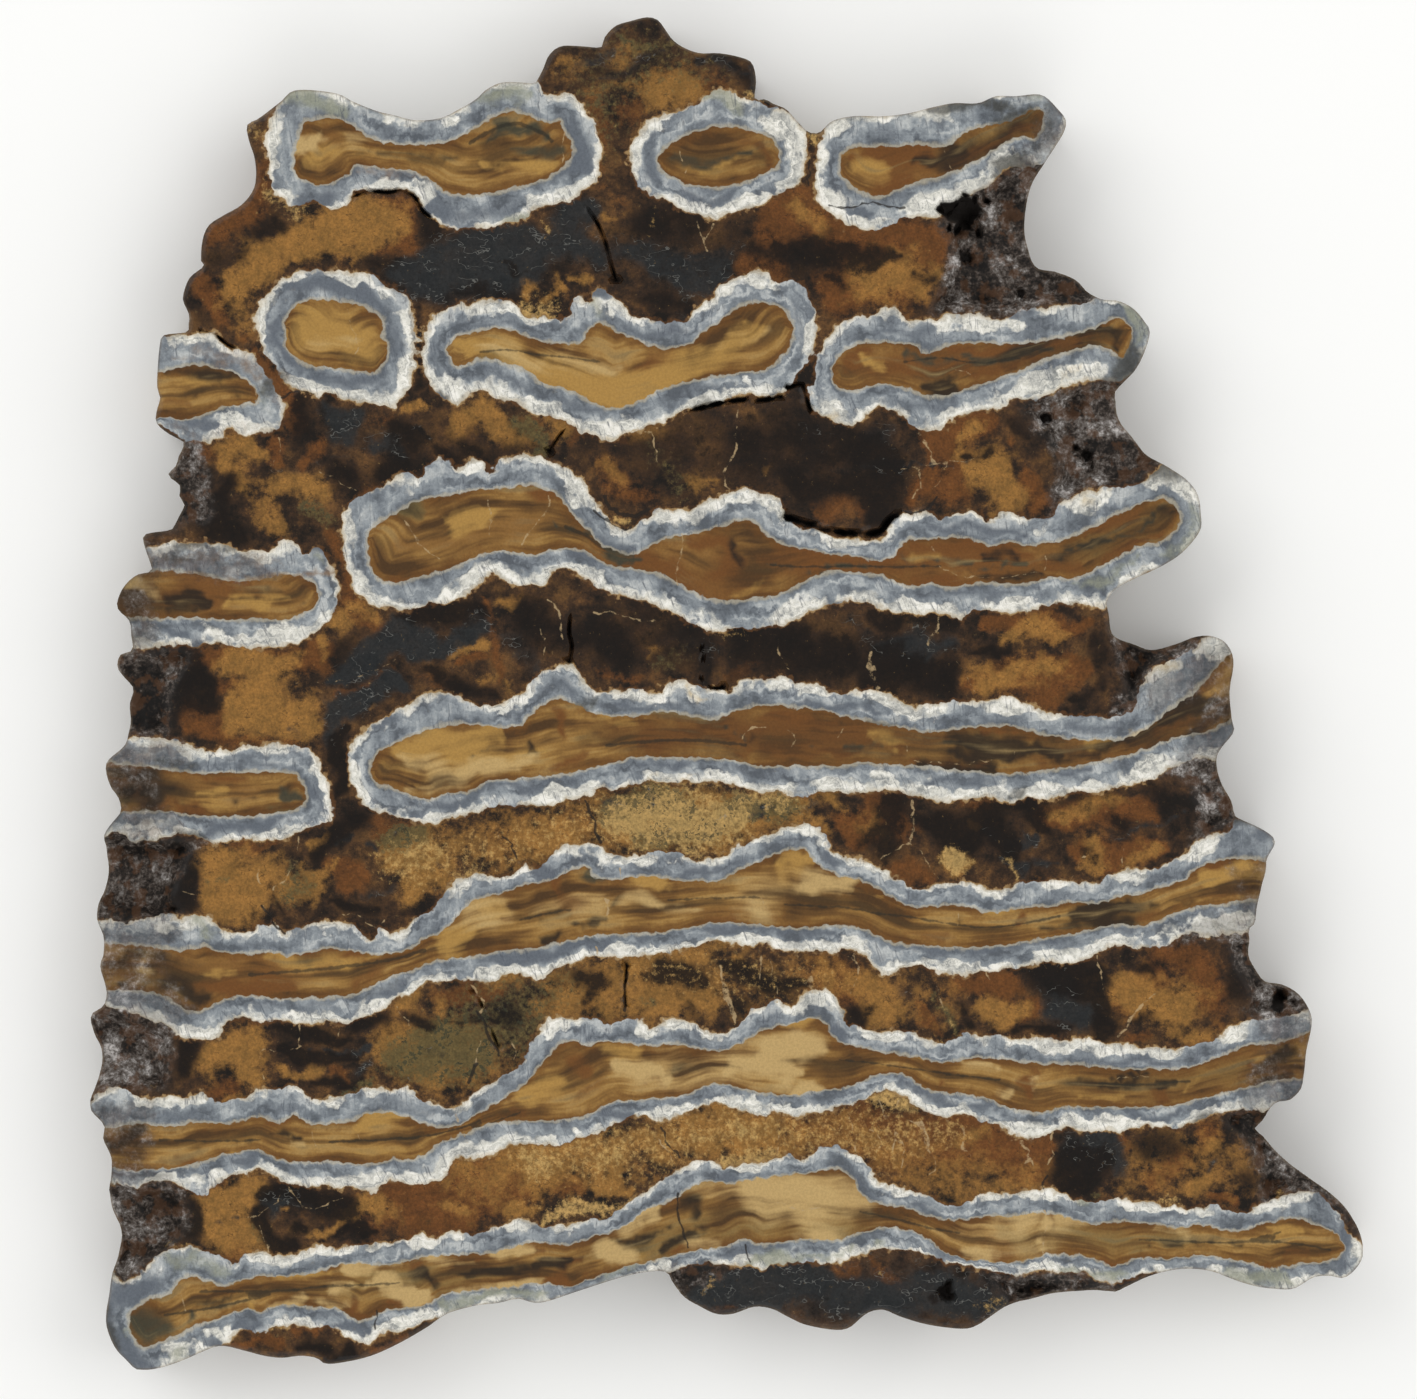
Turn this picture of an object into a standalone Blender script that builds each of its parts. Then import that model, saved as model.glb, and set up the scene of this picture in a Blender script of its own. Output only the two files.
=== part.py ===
"""A slice sawn across a fossil mammoth molar, lying on its lower sawn face.

The polished face looks up. The edge all round is the tooth's own outer surface: the ends of its
plates stand out as rounded ribs, the cement between them lies back in hollows, and the crust
there is worn below the polish, with pits. A few gaps have opened between cement and enamel.
"""

import math

import bmesh
import bpy
from mathutils import Vector, noise
from mathutils.geometry import delaunay_2d_cdt

# Driving dimensions, in metres.
SLICE_WIDTH = 0.085
SLICE_THICKNESS = 0.0065
EDGE_ROUNDING = 0.00018
EDGE_WEAR = 0.00062
CRUST_RAMP = 0.0011
CRUST_LUMP = 0.00030
CRUST_LUMP_SIZE = 0.0021
CRUST_GRID = 0.00125
POLISH_GRID = 0.0065
GAP_STEP = 0.0011
PIT_SIDES = 9
PIT_RINGS = (1.0, 0.6)
SHARP_EDGE_ANGLE = math.radians(35)

# The plan of the slice is read in plan units, x to the right and y down. PLAN_LEFT to
# PLAN_RIGHT is the slice's whole width, and PLAN_TOP to PLAN_BOTTOM its whole height.
PLAN_LEFT, PLAN_RIGHT = 90, 1363
PLAN_TOP, PLAN_BOTTOM = 17, 1370
METRES_PER_UNIT = SLICE_WIDTH / (PLAN_RIGHT - PLAN_LEFT)

# The outer edge at the polished face, clockwise from the left foot of the top lobe.
OUTLINE = (
    (536, 82), (543, 69), (549, 55), (561, 46), (581, 46), (601, 47), (604, 38), (615, 26), (630, 21),
    (647, 17), (658, 20), (665, 29), (673, 40), (685, 48), (700, 53), (719, 53), (740, 57), (752, 63),
    (756, 80), (755, 99), (765, 99), (774, 104), (786, 109), (798, 122), (809, 132), (820, 132), (832, 121),
    (853, 116), (884, 116), (909, 113), (933, 107), (954, 103), (978, 103), (996, 96), (1015, 96),
    (1036, 94), (1046, 97), (1058, 109), (1066, 120), (1064, 132), (1055, 147), (1044, 164), (1033, 182),
    (1027, 204), (1025, 228), (1029, 250), (1038, 267), (1058, 271), (1076, 279), (1088, 291), (1101, 299),
    (1119, 301), (1134, 309), (1145, 322), (1150, 332), (1145, 351), (1136, 369), (1125, 381), (1116, 391),
    (1116, 400), (1120, 420), (1134, 438), (1148, 455), (1168, 467), (1187, 480), (1198, 495), (1201, 514),
    (1200, 531), (1183, 552), (1162, 566), (1134, 579), (1116, 589), (1107, 601), (1109, 615), (1111, 631),
    (1117, 638), (1134, 644), (1152, 650), (1177, 644), (1195, 637), (1211, 636), (1226, 643), (1234, 661),
    (1230, 692), (1232, 718), (1234, 732), (1223, 746), (1217, 758), (1221, 780), (1232, 801), (1235, 815),
    (1240, 819), (1258, 827), (1272, 836), (1275, 844), (1267, 859), (1266, 871), (1261, 890), (1257, 908),
    (1255, 923), (1249, 930), (1250, 942), (1250, 957), (1257, 971), (1266, 982), (1283, 985), (1299, 994),
    (1309, 1009), (1312, 1024), (1307, 1051), (1304, 1075), (1301, 1089), (1290, 1100), (1278, 1102),
    (1269, 1110), (1264, 1121), (1256, 1130), (1263, 1136), (1275, 1150), (1290, 1164), (1309, 1178),
    (1330, 1193), (1345, 1207), (1356, 1224), (1362, 1240), (1363, 1256), (1356, 1269), (1344, 1278),
    (1330, 1276), (1315, 1277), (1306, 1282), (1293, 1289), (1275, 1289), (1254, 1286), (1232, 1279),
    (1214, 1272), (1195, 1269), (1174, 1270), (1150, 1276), (1128, 1286), (1114, 1292), (1091, 1291),
    (1061, 1293), (1036, 1298), (1009, 1305), (990, 1317), (978, 1325), (963, 1329), (929, 1325),
    (901, 1317), (884, 1310), (870, 1312), (861, 1318), (849, 1328), (834, 1330), (806, 1325), (788, 1317),
    (772, 1309), (754, 1307), (733, 1314), (716, 1314), (699, 1306), (684, 1297), (673, 1283), (665, 1272),
    (641, 1273), (613, 1280), (576, 1292), (540, 1303), (518, 1299), (499, 1303), (475, 1306), (447, 1314),
    (426, 1328), (398, 1344), (371, 1356), (346, 1362), (326, 1364), (316, 1358), (300, 1356), (282, 1358),
    (264, 1356), (245, 1351), (221, 1346), (202, 1352), (184, 1360), (160, 1368), (138, 1370), (126, 1360),
    (115, 1348), (107, 1329), (106, 1314), (109, 1295), (112, 1274), (118, 1253), (120, 1231), (112, 1210),
    (109, 1191), (111, 1176), (111, 1158), (103, 1139), (104, 1126), (91, 1112), (90, 1101), (95, 1086),
    (100, 1067), (100, 1049), (94, 1034), (90, 1020), (91, 1014), (103, 1006), (106, 994), (104, 982),
    (100, 966), (103, 954), (103, 936), (97, 920), (97, 905), (103, 890), (107, 871), (105, 850),
    (104, 835), (112, 822), (120, 812), (118, 798), (110, 786), (106, 772), (107, 761), (124, 746),
    (128, 735), (130, 719), (129, 704), (132, 689), (124, 678), (117, 667), (120, 655), (132, 650),
    (131, 636), (129, 621), (118, 610), (117, 600), (124, 586), (136, 575), (151, 571), (149, 560),
    (145, 548), (144, 535), (164, 531), (172, 529), (178, 517), (184, 505), (179, 496), (179, 485),
    (168, 475), (176, 465), (178, 456), (184, 444), (182, 441), (166, 432), (156, 422), (157, 409),
    (160, 398), (157, 386), (158, 361), (160, 343), (164, 335), (187, 332), (188, 327), (189, 315),
    (183, 301), (184, 291), (190, 277), (204, 266), (201, 262), (202, 242), (208, 226), (222, 216),
    (241, 205), (253, 190), (256, 174), (254, 156), (249, 141), (247, 125), (259, 118), (280, 102),
    (296, 90), (335, 93), (354, 102), (377, 111), (394, 115), (415, 120), (440, 118), (461, 108), (476, 99),
    (487, 89), (504, 82), (533, 83),
)

# Where crust lies below the polish: the deepest fall in metres, then a loop round the place.
# A loop runs past the outline where the crust goes on over the edge.
CRUSTS = {
    "right_upper": (0.00120, (
        (946, 228), (958, 204), (985, 190), (1012, 172), (1046, 160), (1090, 200), (1080, 262),
        (1104, 290), (1090, 304), (1040, 308), (1000, 317), (960, 312), (930, 316), (940, 290),
        (952, 262),
    )),
    "right_middle": (0.00105, (
        (1012, 404), (1052, 396), (1096, 382), (1140, 380), (1150, 430), (1166, 462), (1130, 482),
        (1092, 489), (1064, 499), (1048, 515), (1054, 485), (1060, 458), (1044, 434), (1026, 418),
    )),
    "right_shelf": (0.00130, (
        (1114, 630), (1150, 640), (1200, 628), (1215, 634), (1180, 652), (1156, 666), (1144, 680),
        (1136, 704), (1114, 716), (1124, 690), (1118, 664),
    )),
    "right_notch": (0.00090, (
        (1168, 770), (1204, 760), (1234, 744), (1256, 806), (1238, 820), (1206, 836), (1184, 850),
        (1202, 818), (1192, 790),
    )),
    "right_lobe": (0.00110, (
        (1226, 940), (1262, 930), (1276, 975), (1306, 976), (1322, 1008), (1268, 1017),
        (1244, 1020), (1254, 998), (1238, 970),
    )),
    "right_low": (0.00125, (
        (1222, 1116), (1290, 1104), (1272, 1132), (1320, 1170), (1372, 1214), (1352, 1228),
        (1330, 1204), (1306, 1190), (1278, 1200), (1262, 1204), (1262, 1176), (1250, 1150),
    )),
    "left_upper": (0.00060, (
        (176, 441), (198, 442), (206, 470), (214, 505), (206, 524), (160, 530), (166, 500),
        (160, 470),
    )),
    "left_middle": (0.00085, (
        (105, 652), (152, 650), (196, 650), (184, 672), (172, 700), (168, 734), (120, 736),
        (112, 690),
    )),
    "left_hollow": (0.00160, (
        (92, 834), (118, 833), (160, 840), (202, 840), (190, 852), (178, 876), (174, 902),
        (184, 914), (140, 920), (84, 922), (90, 880),
    )),
    "left_lower": (0.00125, (
        (82, 1006), (106, 1008), (150, 1022), (170, 1034), (172, 1062), (168, 1092), (120, 1086),
        (84, 1098), (88, 1050),
    )),
    "left_foot": (0.00135, (
        (100, 1188), (116, 1188), (158, 1183), (180, 1188), (188, 1214), (180, 1240), (156, 1256),
        (122, 1282), (104, 1270), (108, 1230),
    )),
    "foot_lobe": (0.00120, (
        (984, 1272), (1016, 1278), (1048, 1274), (1080, 1276), (1116, 1286), (1118, 1300),
        (1062, 1300), (1016, 1306), (1000, 1292),
    )),
    "foot_step": (0.00080, (
        (658, 1270), (684, 1269), (716, 1265), (722, 1276), (700, 1284), (676, 1290),
    )),
}

# Gaps that have opened along the enamel or through the cement: the half-width and the depth
# in metres, then the way each gap runs.
GAPS = (
    (0.00020, 0.0010, ((352, 197), (367, 191), (388, 192), (402, 190), (415, 197), (424, 212), (438, 220))),
    (0.00017, 0.0009, ((581, 201), (595, 219), (605, 241), (611, 264), (616, 280))),
    (0.00024, 0.0014, ((685, 412), (715, 404), (738, 400), (762, 400), (781, 396))),
    (0.00020, 0.0010, ((787, 388), (802, 384), (806, 397), (811, 410))),
    (0.00031, 0.0016, ((786, 517), (810, 524), (832, 531), (856, 533), (879, 532), (888, 521), (898, 513))),
    (0.00020, 0.0012, ((700, 638), (703, 656), (700, 674), (706, 687), (722, 688))),
    (0.00016, 0.0009, ((571, 612), (569, 632), (572, 646), (569, 662))),
    (0.00016, 0.0009, ((200, 331), (213, 333), (228, 345), (243, 349), (251, 342))),
    (0.00015, 0.0008, ((549, 451), (559, 436), (566, 428))),
    (0.00014, 0.0008, ((627, 966), (625, 984), (626, 1006))),
    (0.00014, 0.0008, ((473, 991), (484, 1009), (489, 1024), (498, 1046))),
)

# Round pits in the crust: place in plan units, then radius and depth in metres.
PITS = (
    (966, 213, 0.00125, 0.0018),
    (966, 256, 0.00042, 0.0008),
    (1021, 292, 0.00036, 0.0008),
    (1047, 417, 0.00052, 0.0008),
    (1088, 455, 0.00050, 0.0009),
    (1280, 1003, 0.00070, 0.0011),
    (944, 1293, 0.00052, 0.0010),
)

# Down the edge, from the polish to the sawn face below: how high on the slice, and how much of
# the edge's wear shows there.
EDGE_RINGS = ((1.0, 0.0), (0.975, 0.0), (0.80, 0.35), (0.58, 0.8), (0.36, 1.0), (0.14, 0.75), (0.0, 0.9))
EDGE_WEAR_PITCH = 0.0042
EDGE_WEAR_STRETCH = 2.6
EDGE_WEAR_MEAN_SHARE = 0.5
EDGE_WEAR_CONTRAST = 0.9

# The closest that two points of a face may lie, in metres.
POINT_TOLERANCE = 1e-7

FOSSIL_BROWN = (0.21, 0.125, 0.058, 1.0)
FOSSIL_ROUGHNESS = 0.32


def place(x, y):
    """A place on the plan, in metres from the middle of the slice."""
    return Vector((
        (x - (PLAN_LEFT + PLAN_RIGHT) / 2) * METRES_PER_UNIT,
        ((PLAN_TOP + PLAN_BOTTOM) / 2 - y) * METRES_PER_UNIT,
    ))


def smooth_step(share):
    share = min(max(share, 0.0), 1.0)
    return share * share * (3 - 2 * share)


def distance_to_stretch(point, start, end):
    along = end - start
    share = min(max((point - start).dot(along) / along.length_squared, 0.0), 1.0)
    return (point - (start + along * share)).length


def is_inside(point, loop):
    inside = False
    for a, b in zip(loop, loop[1:] + loop[:1]):
        if (a.y > point.y) != (b.y > point.y):
            if point.x < a.x + (point.y - a.y) / (b.y - a.y) * (b.x - a.x):
                inside = not inside
    return inside


def depth_in_loop(point, loop):
    """How far a point lies inside a closed loop, or 0 outside it."""
    if not is_inside(point, loop):
        return 0.0
    return min(distance_to_stretch(point, a, b) for a, b in zip(loop, loop[1:] + loop[:1]))


def crust_fall(point, crusts):
    fall = 0.0
    for deepest, loop in crusts:
        inside = depth_in_loop(point, loop)
        if inside > 0:
            lump = noise.noise(Vector((point.x, point.y, 0)) / CRUST_LUMP_SIZE)
            share = smooth_step(inside / CRUST_RAMP)
            fall = max(fall, share * (deepest + CRUST_LUMP * lump))
    return fall


def gap_fall(point, gaps):
    fall = 0.0
    for half_width, depth, way in gaps:
        across = min(distance_to_stretch(point, a, b) for a, b in zip(way, way[1:]))
        fall = max(fall, depth * max(0.0, 1 - across / half_width))
    return fall


def pit_fall(point, pits):
    fall = 0.0
    for centre, radius, depth in pits:
        share = (point - centre).length / radius
        fall = max(fall, depth * max(0.0, 1 - share ** 2))
    return fall


def resampled(way, step):
    """Points about a step apart along an open way, its own corners kept."""
    points = [way[0]]
    for start, end in zip(way, way[1:]):
        count = max(1, round((end - start).length / step))
        points += [start.lerp(end, (i + 1) / count) for i in range(count)]
    return points


def sideways(way, index):
    """The unit vector to the left of a way, at one of its points."""
    ahead = way[min(index + 1, len(way) - 1)] - way[max(index - 1, 0)]
    return Vector((-ahead.y, ahead.x)).normalized()


class FaceDrawing:
    """The points and lines that a sawn face is filled in from."""

    def __init__(self, loop):
        self.points = list(loop)
        count = len(loop)
        self.lines = [(i, (i + 1) % count) for i in range(count)]

    def add_way(self, way, closed=False):
        first = len(self.points)
        self.points += way
        self.lines += [(i, i + 1) for i in range(first, first + len(way) - 1)]
        if closed:
            self.lines.append((first + len(way) - 1, first))

    def add_free_points(self, points):
        self.points += points

    def filled(self):
        """Points and triangles that fill the loop, its own points first and in order."""
        points, _, faces, _, _, _ = delaunay_2d_cdt(self.points, self.lines, [], 1, POINT_TOLERANCE)
        return points, faces


def grid_points(step, lowest, highest):
    """Points of a triangular grid over a box."""
    row_step = step * math.sqrt(0.75)
    rows = int((highest.y - lowest.y) / row_step) + 1
    columns = int((highest.x - lowest.x) / step) + 1
    return [
        Vector((lowest.x + (i + 0.5 * (j % 2)) * step, lowest.y + j * row_step))
        for j in range(rows)
        for i in range(columns)
    ]


def top_face(loop, crusts, gaps, pits):
    """The polished face in plan, with points where it falls away into crust, gaps and pits."""
    drawing = FaceDrawing(loop)
    for half_width, _, way in gaps:
        middle = resampled(way, GAP_STEP)
        drawing.add_way(middle)
        left, right = [], []
        for i in range(1, len(middle) - 1):
            left.append(middle[i] + sideways(middle, i) * half_width)
            right.append(middle[i] - sideways(middle, i) * half_width)
        drawing.add_way([middle[0] + (middle[0] - middle[1]).normalized() * half_width] + left
                        + [middle[-1] + (middle[-1] - middle[-2]).normalized() * half_width]
                        + right[::-1], closed=True)
    for centre, radius, _ in pits:
        for share in PIT_RINGS:
            drawing.add_way([
                centre + Vector((math.cos(turn), math.sin(turn))) * radius * share
                for turn in (math.tau * i / PIT_SIDES for i in range(PIT_SIDES))
            ], closed=True)
        drawing.add_free_points([centre])

    lowest = Vector((min(p.x for p in loop), min(p.y for p in loop)))
    highest = Vector((max(p.x for p in loop), max(p.y for p in loop)))

    def is_clear(point, room):
        if not is_inside(point, loop) or depth_in_loop(point, loop) < room:
            return False
        if any((point - centre).length < radius + room for centre, radius, _ in pits):
            return False
        return all(
            min(distance_to_stretch(point, a, b) for a, b in zip(way, way[1:])) > half_width + room
            for half_width, _, way in gaps
        )

    for point in grid_points(CRUST_GRID, lowest, highest):
        if any(is_inside(point, crust) for _, crust in crusts) and is_clear(point, CRUST_GRID / 2):
            drawing.add_free_points([point])
    for point in grid_points(POLISH_GRID, lowest, highest):
        if is_clear(point, POLISH_GRID / 4) and not any(is_inside(point, c) for _, c in crusts):
            drawing.add_free_points([point])
    return drawing.filled()


def inward_normals(loop):
    """Unit vectors into a clockwise loop, one for each of its points."""
    normals = []
    for i, point in enumerate(loop):
        before = (point - loop[i - 1]).normalized()
        after = (loop[(i + 1) % len(loop)] - point).normalized()
        along = before + after
        normals.append(Vector((along.y, -along.x)).normalized())
    return normals


def edge_wear(point, height):
    """How far the natural edge lies back from the outline at one place and height."""
    at = Vector((point.x, point.y, height / EDGE_WEAR_STRETCH)) / EDGE_WEAR_PITCH
    return EDGE_WEAR * smooth_step(EDGE_WEAR_MEAN_SHARE + EDGE_WEAR_CONTRAST * noise.noise(at))


def make_slice(name, material):
    outline = [place(x, y) for x, y in OUTLINE]
    crusts = [(deepest, [place(x, y) for x, y in loop]) for deepest, loop in CRUSTS.values()]
    gaps = [(width, depth, [place(x, y) for x, y in way]) for width, depth, way in GAPS]
    pits = [(place(x, y), radius, depth) for x, y, radius, depth in PITS]
    normals = inward_normals(outline)

    def surface(point):
        fall = crust_fall(point, crusts) + gap_fall(point, gaps)
        return SLICE_THICKNESS - fall - pit_fall(point, pits)

    shape = bmesh.new()
    rings = []
    for height_share, wear_share in EDGE_RINGS:
        ring = []
        for point, normal in zip(outline, normals):
            height = surface(point) * height_share
            back = wear_share * edge_wear(point, height)
            if height_share in (0.0, 1.0):
                back += EDGE_ROUNDING
            at = point + normal * back
            ring.append(shape.verts.new((at.x, at.y, height)))
        rings.append(ring)
    for upper, lower in zip(rings, rings[1:]):
        for i in range(len(upper)):
            after = (i + 1) % len(upper)
            shape.faces.new((upper[i], upper[after], lower[after], lower[i]))

    for ring, is_top in ((rings[0], True), (rings[-1], False)):
        loop = [Vector((vert.co.x, vert.co.y)) for vert in ring]
        points, faces = top_face(loop, crusts, gaps, pits) if is_top else FaceDrawing(loop).filled()
        verts = ring + [
            shape.verts.new((p.x, p.y, surface(p) if is_top else 0.0)) for p in points[len(ring):]
        ]
        for face in faces:
            shape.faces.new([verts[i] for i in face])
    bmesh.ops.triangulate(shape, faces=shape.faces[:])
    bmesh.ops.recalc_face_normals(shape, faces=shape.faces[:])

    mesh = bpy.data.meshes.new(name)
    shape.to_mesh(mesh)
    shape.free()
    mesh.shade_smooth()
    mesh.set_sharp_from_angle(angle=SHARP_EDGE_ANGLE)
    mesh.materials.append(material)
    tooth_slice = bpy.data.objects.new(name, mesh)
    bpy.context.scene.collection.objects.link(tooth_slice)
    return tooth_slice


def make_fossil_material():
    material = bpy.data.materials.new("fossil_tooth")
    material.use_nodes = True
    surface = material.node_tree.nodes["Principled BSDF"]
    surface.inputs["Base Color"].default_value = FOSSIL_BROWN
    surface.inputs["Roughness"].default_value = FOSSIL_ROUGHNESS
    surface.inputs["Metallic"].default_value = 0.0
    return material


for leftover in list(bpy.data.objects):
    bpy.data.objects.remove(leftover)
make_slice("tooth_slice", make_fossil_material())
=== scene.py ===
"""A slice of a woolly mammoth's fossil molar, sawn flat and polished, lying on a pale table."""

import math

import bpy
import numpy as np
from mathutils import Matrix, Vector, kdtree, noise
from mathutils.geometry import delaunay_2d_cdt


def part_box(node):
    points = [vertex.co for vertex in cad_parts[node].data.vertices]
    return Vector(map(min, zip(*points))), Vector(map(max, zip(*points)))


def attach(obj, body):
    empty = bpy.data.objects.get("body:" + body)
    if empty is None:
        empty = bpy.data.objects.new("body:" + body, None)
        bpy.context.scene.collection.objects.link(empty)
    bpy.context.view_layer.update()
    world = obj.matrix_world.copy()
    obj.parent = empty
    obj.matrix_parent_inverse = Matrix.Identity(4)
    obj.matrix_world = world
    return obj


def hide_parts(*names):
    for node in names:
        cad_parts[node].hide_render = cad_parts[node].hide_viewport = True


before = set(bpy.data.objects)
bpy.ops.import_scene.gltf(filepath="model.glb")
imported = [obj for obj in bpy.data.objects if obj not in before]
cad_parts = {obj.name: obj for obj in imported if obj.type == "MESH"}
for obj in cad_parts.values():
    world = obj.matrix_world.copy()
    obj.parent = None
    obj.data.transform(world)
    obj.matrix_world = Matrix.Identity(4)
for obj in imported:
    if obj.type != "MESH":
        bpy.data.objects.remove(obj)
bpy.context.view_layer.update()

LOWEST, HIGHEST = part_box("tooth_slice")
THICKNESS = (HIGHEST.z - LOWEST.z) * 1000
PLAN_LEFT, PLAN_RIGHT = 90, 1363
PLAN_TOP, PLAN_BOTTOM = 17, 1370
PLAN_MIDDLE = np.array(((PLAN_LEFT + PLAN_RIGHT) / 2, (PLAN_TOP + PLAN_BOTTOM) / 2))
MM_PER_UNIT = (HIGHEST.x - LOWEST.x) * 1000 / (PLAN_RIGHT - PLAN_LEFT)

# The sawn outline in plan units, x to the right and y down, clockwise from the top lobe's left foot.
OUTLINE = """
536,82 543,69 549,55 561,46 581,46 601,47 604,38 615,26 630,21 647,17 658,20 665,29 673,40 685,48 700,53
719,53 740,57 752,63 756,80 755,99 765,99 774,104 786,109 798,122 809,132 820,132 832,121 853,116
884,116 909,113 933,107 954,103 978,103 996,96 1015,96 1036,94 1046,97 1058,109 1066,120 1064,132
1055,147 1044,164 1033,182 1027,204 1025,228 1029,250 1038,267 1058,271 1076,279 1088,291 1101,299
1119,301 1134,309 1145,322 1150,332 1145,351 1136,369 1125,381 1116,391 1116,400 1120,420 1134,438
1148,455 1168,467 1187,480 1198,495 1201,514 1200,531 1183,552 1162,566 1134,579 1116,589 1107,601
1109,615 1111,631 1117,638 1134,644 1152,650 1177,644 1195,637 1211,636 1226,643 1234,661 1230,692
1232,718 1234,732 1223,746 1217,758 1221,780 1232,801 1235,815 1240,819 1258,827 1272,836 1275,844
1267,859 1266,871 1261,890 1257,908 1255,923 1249,930 1250,942 1250,957 1257,971 1266,982 1283,985
1299,994 1309,1009 1312,1024 1307,1051 1304,1075 1301,1089 1290,1100 1278,1102 1269,1110 1264,1121
1256,1130 1263,1136 1275,1150 1290,1164 1309,1178 1330,1193 1345,1207 1356,1224 1362,1240 1363,1256
1356,1269 1344,1278 1330,1276 1315,1277 1306,1282 1293,1289 1275,1289 1254,1286 1232,1279 1214,1272
1195,1269 1174,1270 1150,1276 1128,1286 1114,1292 1091,1291 1061,1293 1036,1298 1009,1305 990,1317
978,1325 963,1329 929,1325 901,1317 884,1310 870,1312 861,1318 849,1328 834,1330 806,1325 788,1317
772,1309 754,1307 733,1314 716,1314 699,1306 684,1297 673,1283 665,1272 641,1273 613,1280 576,1292
540,1303 518,1299 499,1303 475,1306 447,1314 426,1328 398,1344 371,1356 346,1362 326,1364 316,1358
300,1356 282,1358 264,1356 245,1351 221,1346 202,1352 184,1360 160,1368 138,1370 126,1360 115,1348
107,1329 106,1314 109,1295 112,1274 118,1253 120,1231 112,1210 109,1191 111,1176 111,1158 103,1139
104,1126 91,1112 90,1101 95,1086 100,1067 100,1049 94,1034 90,1020 91,1014 103,1006 106,994 104,982
100,966 103,954 103,936 97,920 97,905 103,890 107,871 105,850 104,835 112,822 120,812 118,798 110,786
106,772 107,761 124,746 128,735 130,719 129,704 132,689 124,678 117,667 120,655 132,650 131,636 129,621
118,610 117,600 124,586 136,575 151,571 149,560 145,548 144,535 164,531 172,529 178,517 184,505 179,496
179,485 168,475 176,465 178,456 184,444 182,441 166,432 156,422 157,409 160,398 157,386 158,361 160,343
164,335 187,332 188,327 189,315 183,301 184,291 190,277 204,266 201,262 202,242 208,226 222,216 241,205
253,190 256,174 254,156 249,141 247,125 259,118 280,102 296,90 335,93 354,102 377,111 394,115 415,120
440,118 461,108 476,99 487,89 504,82 533,83
"""

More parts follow.
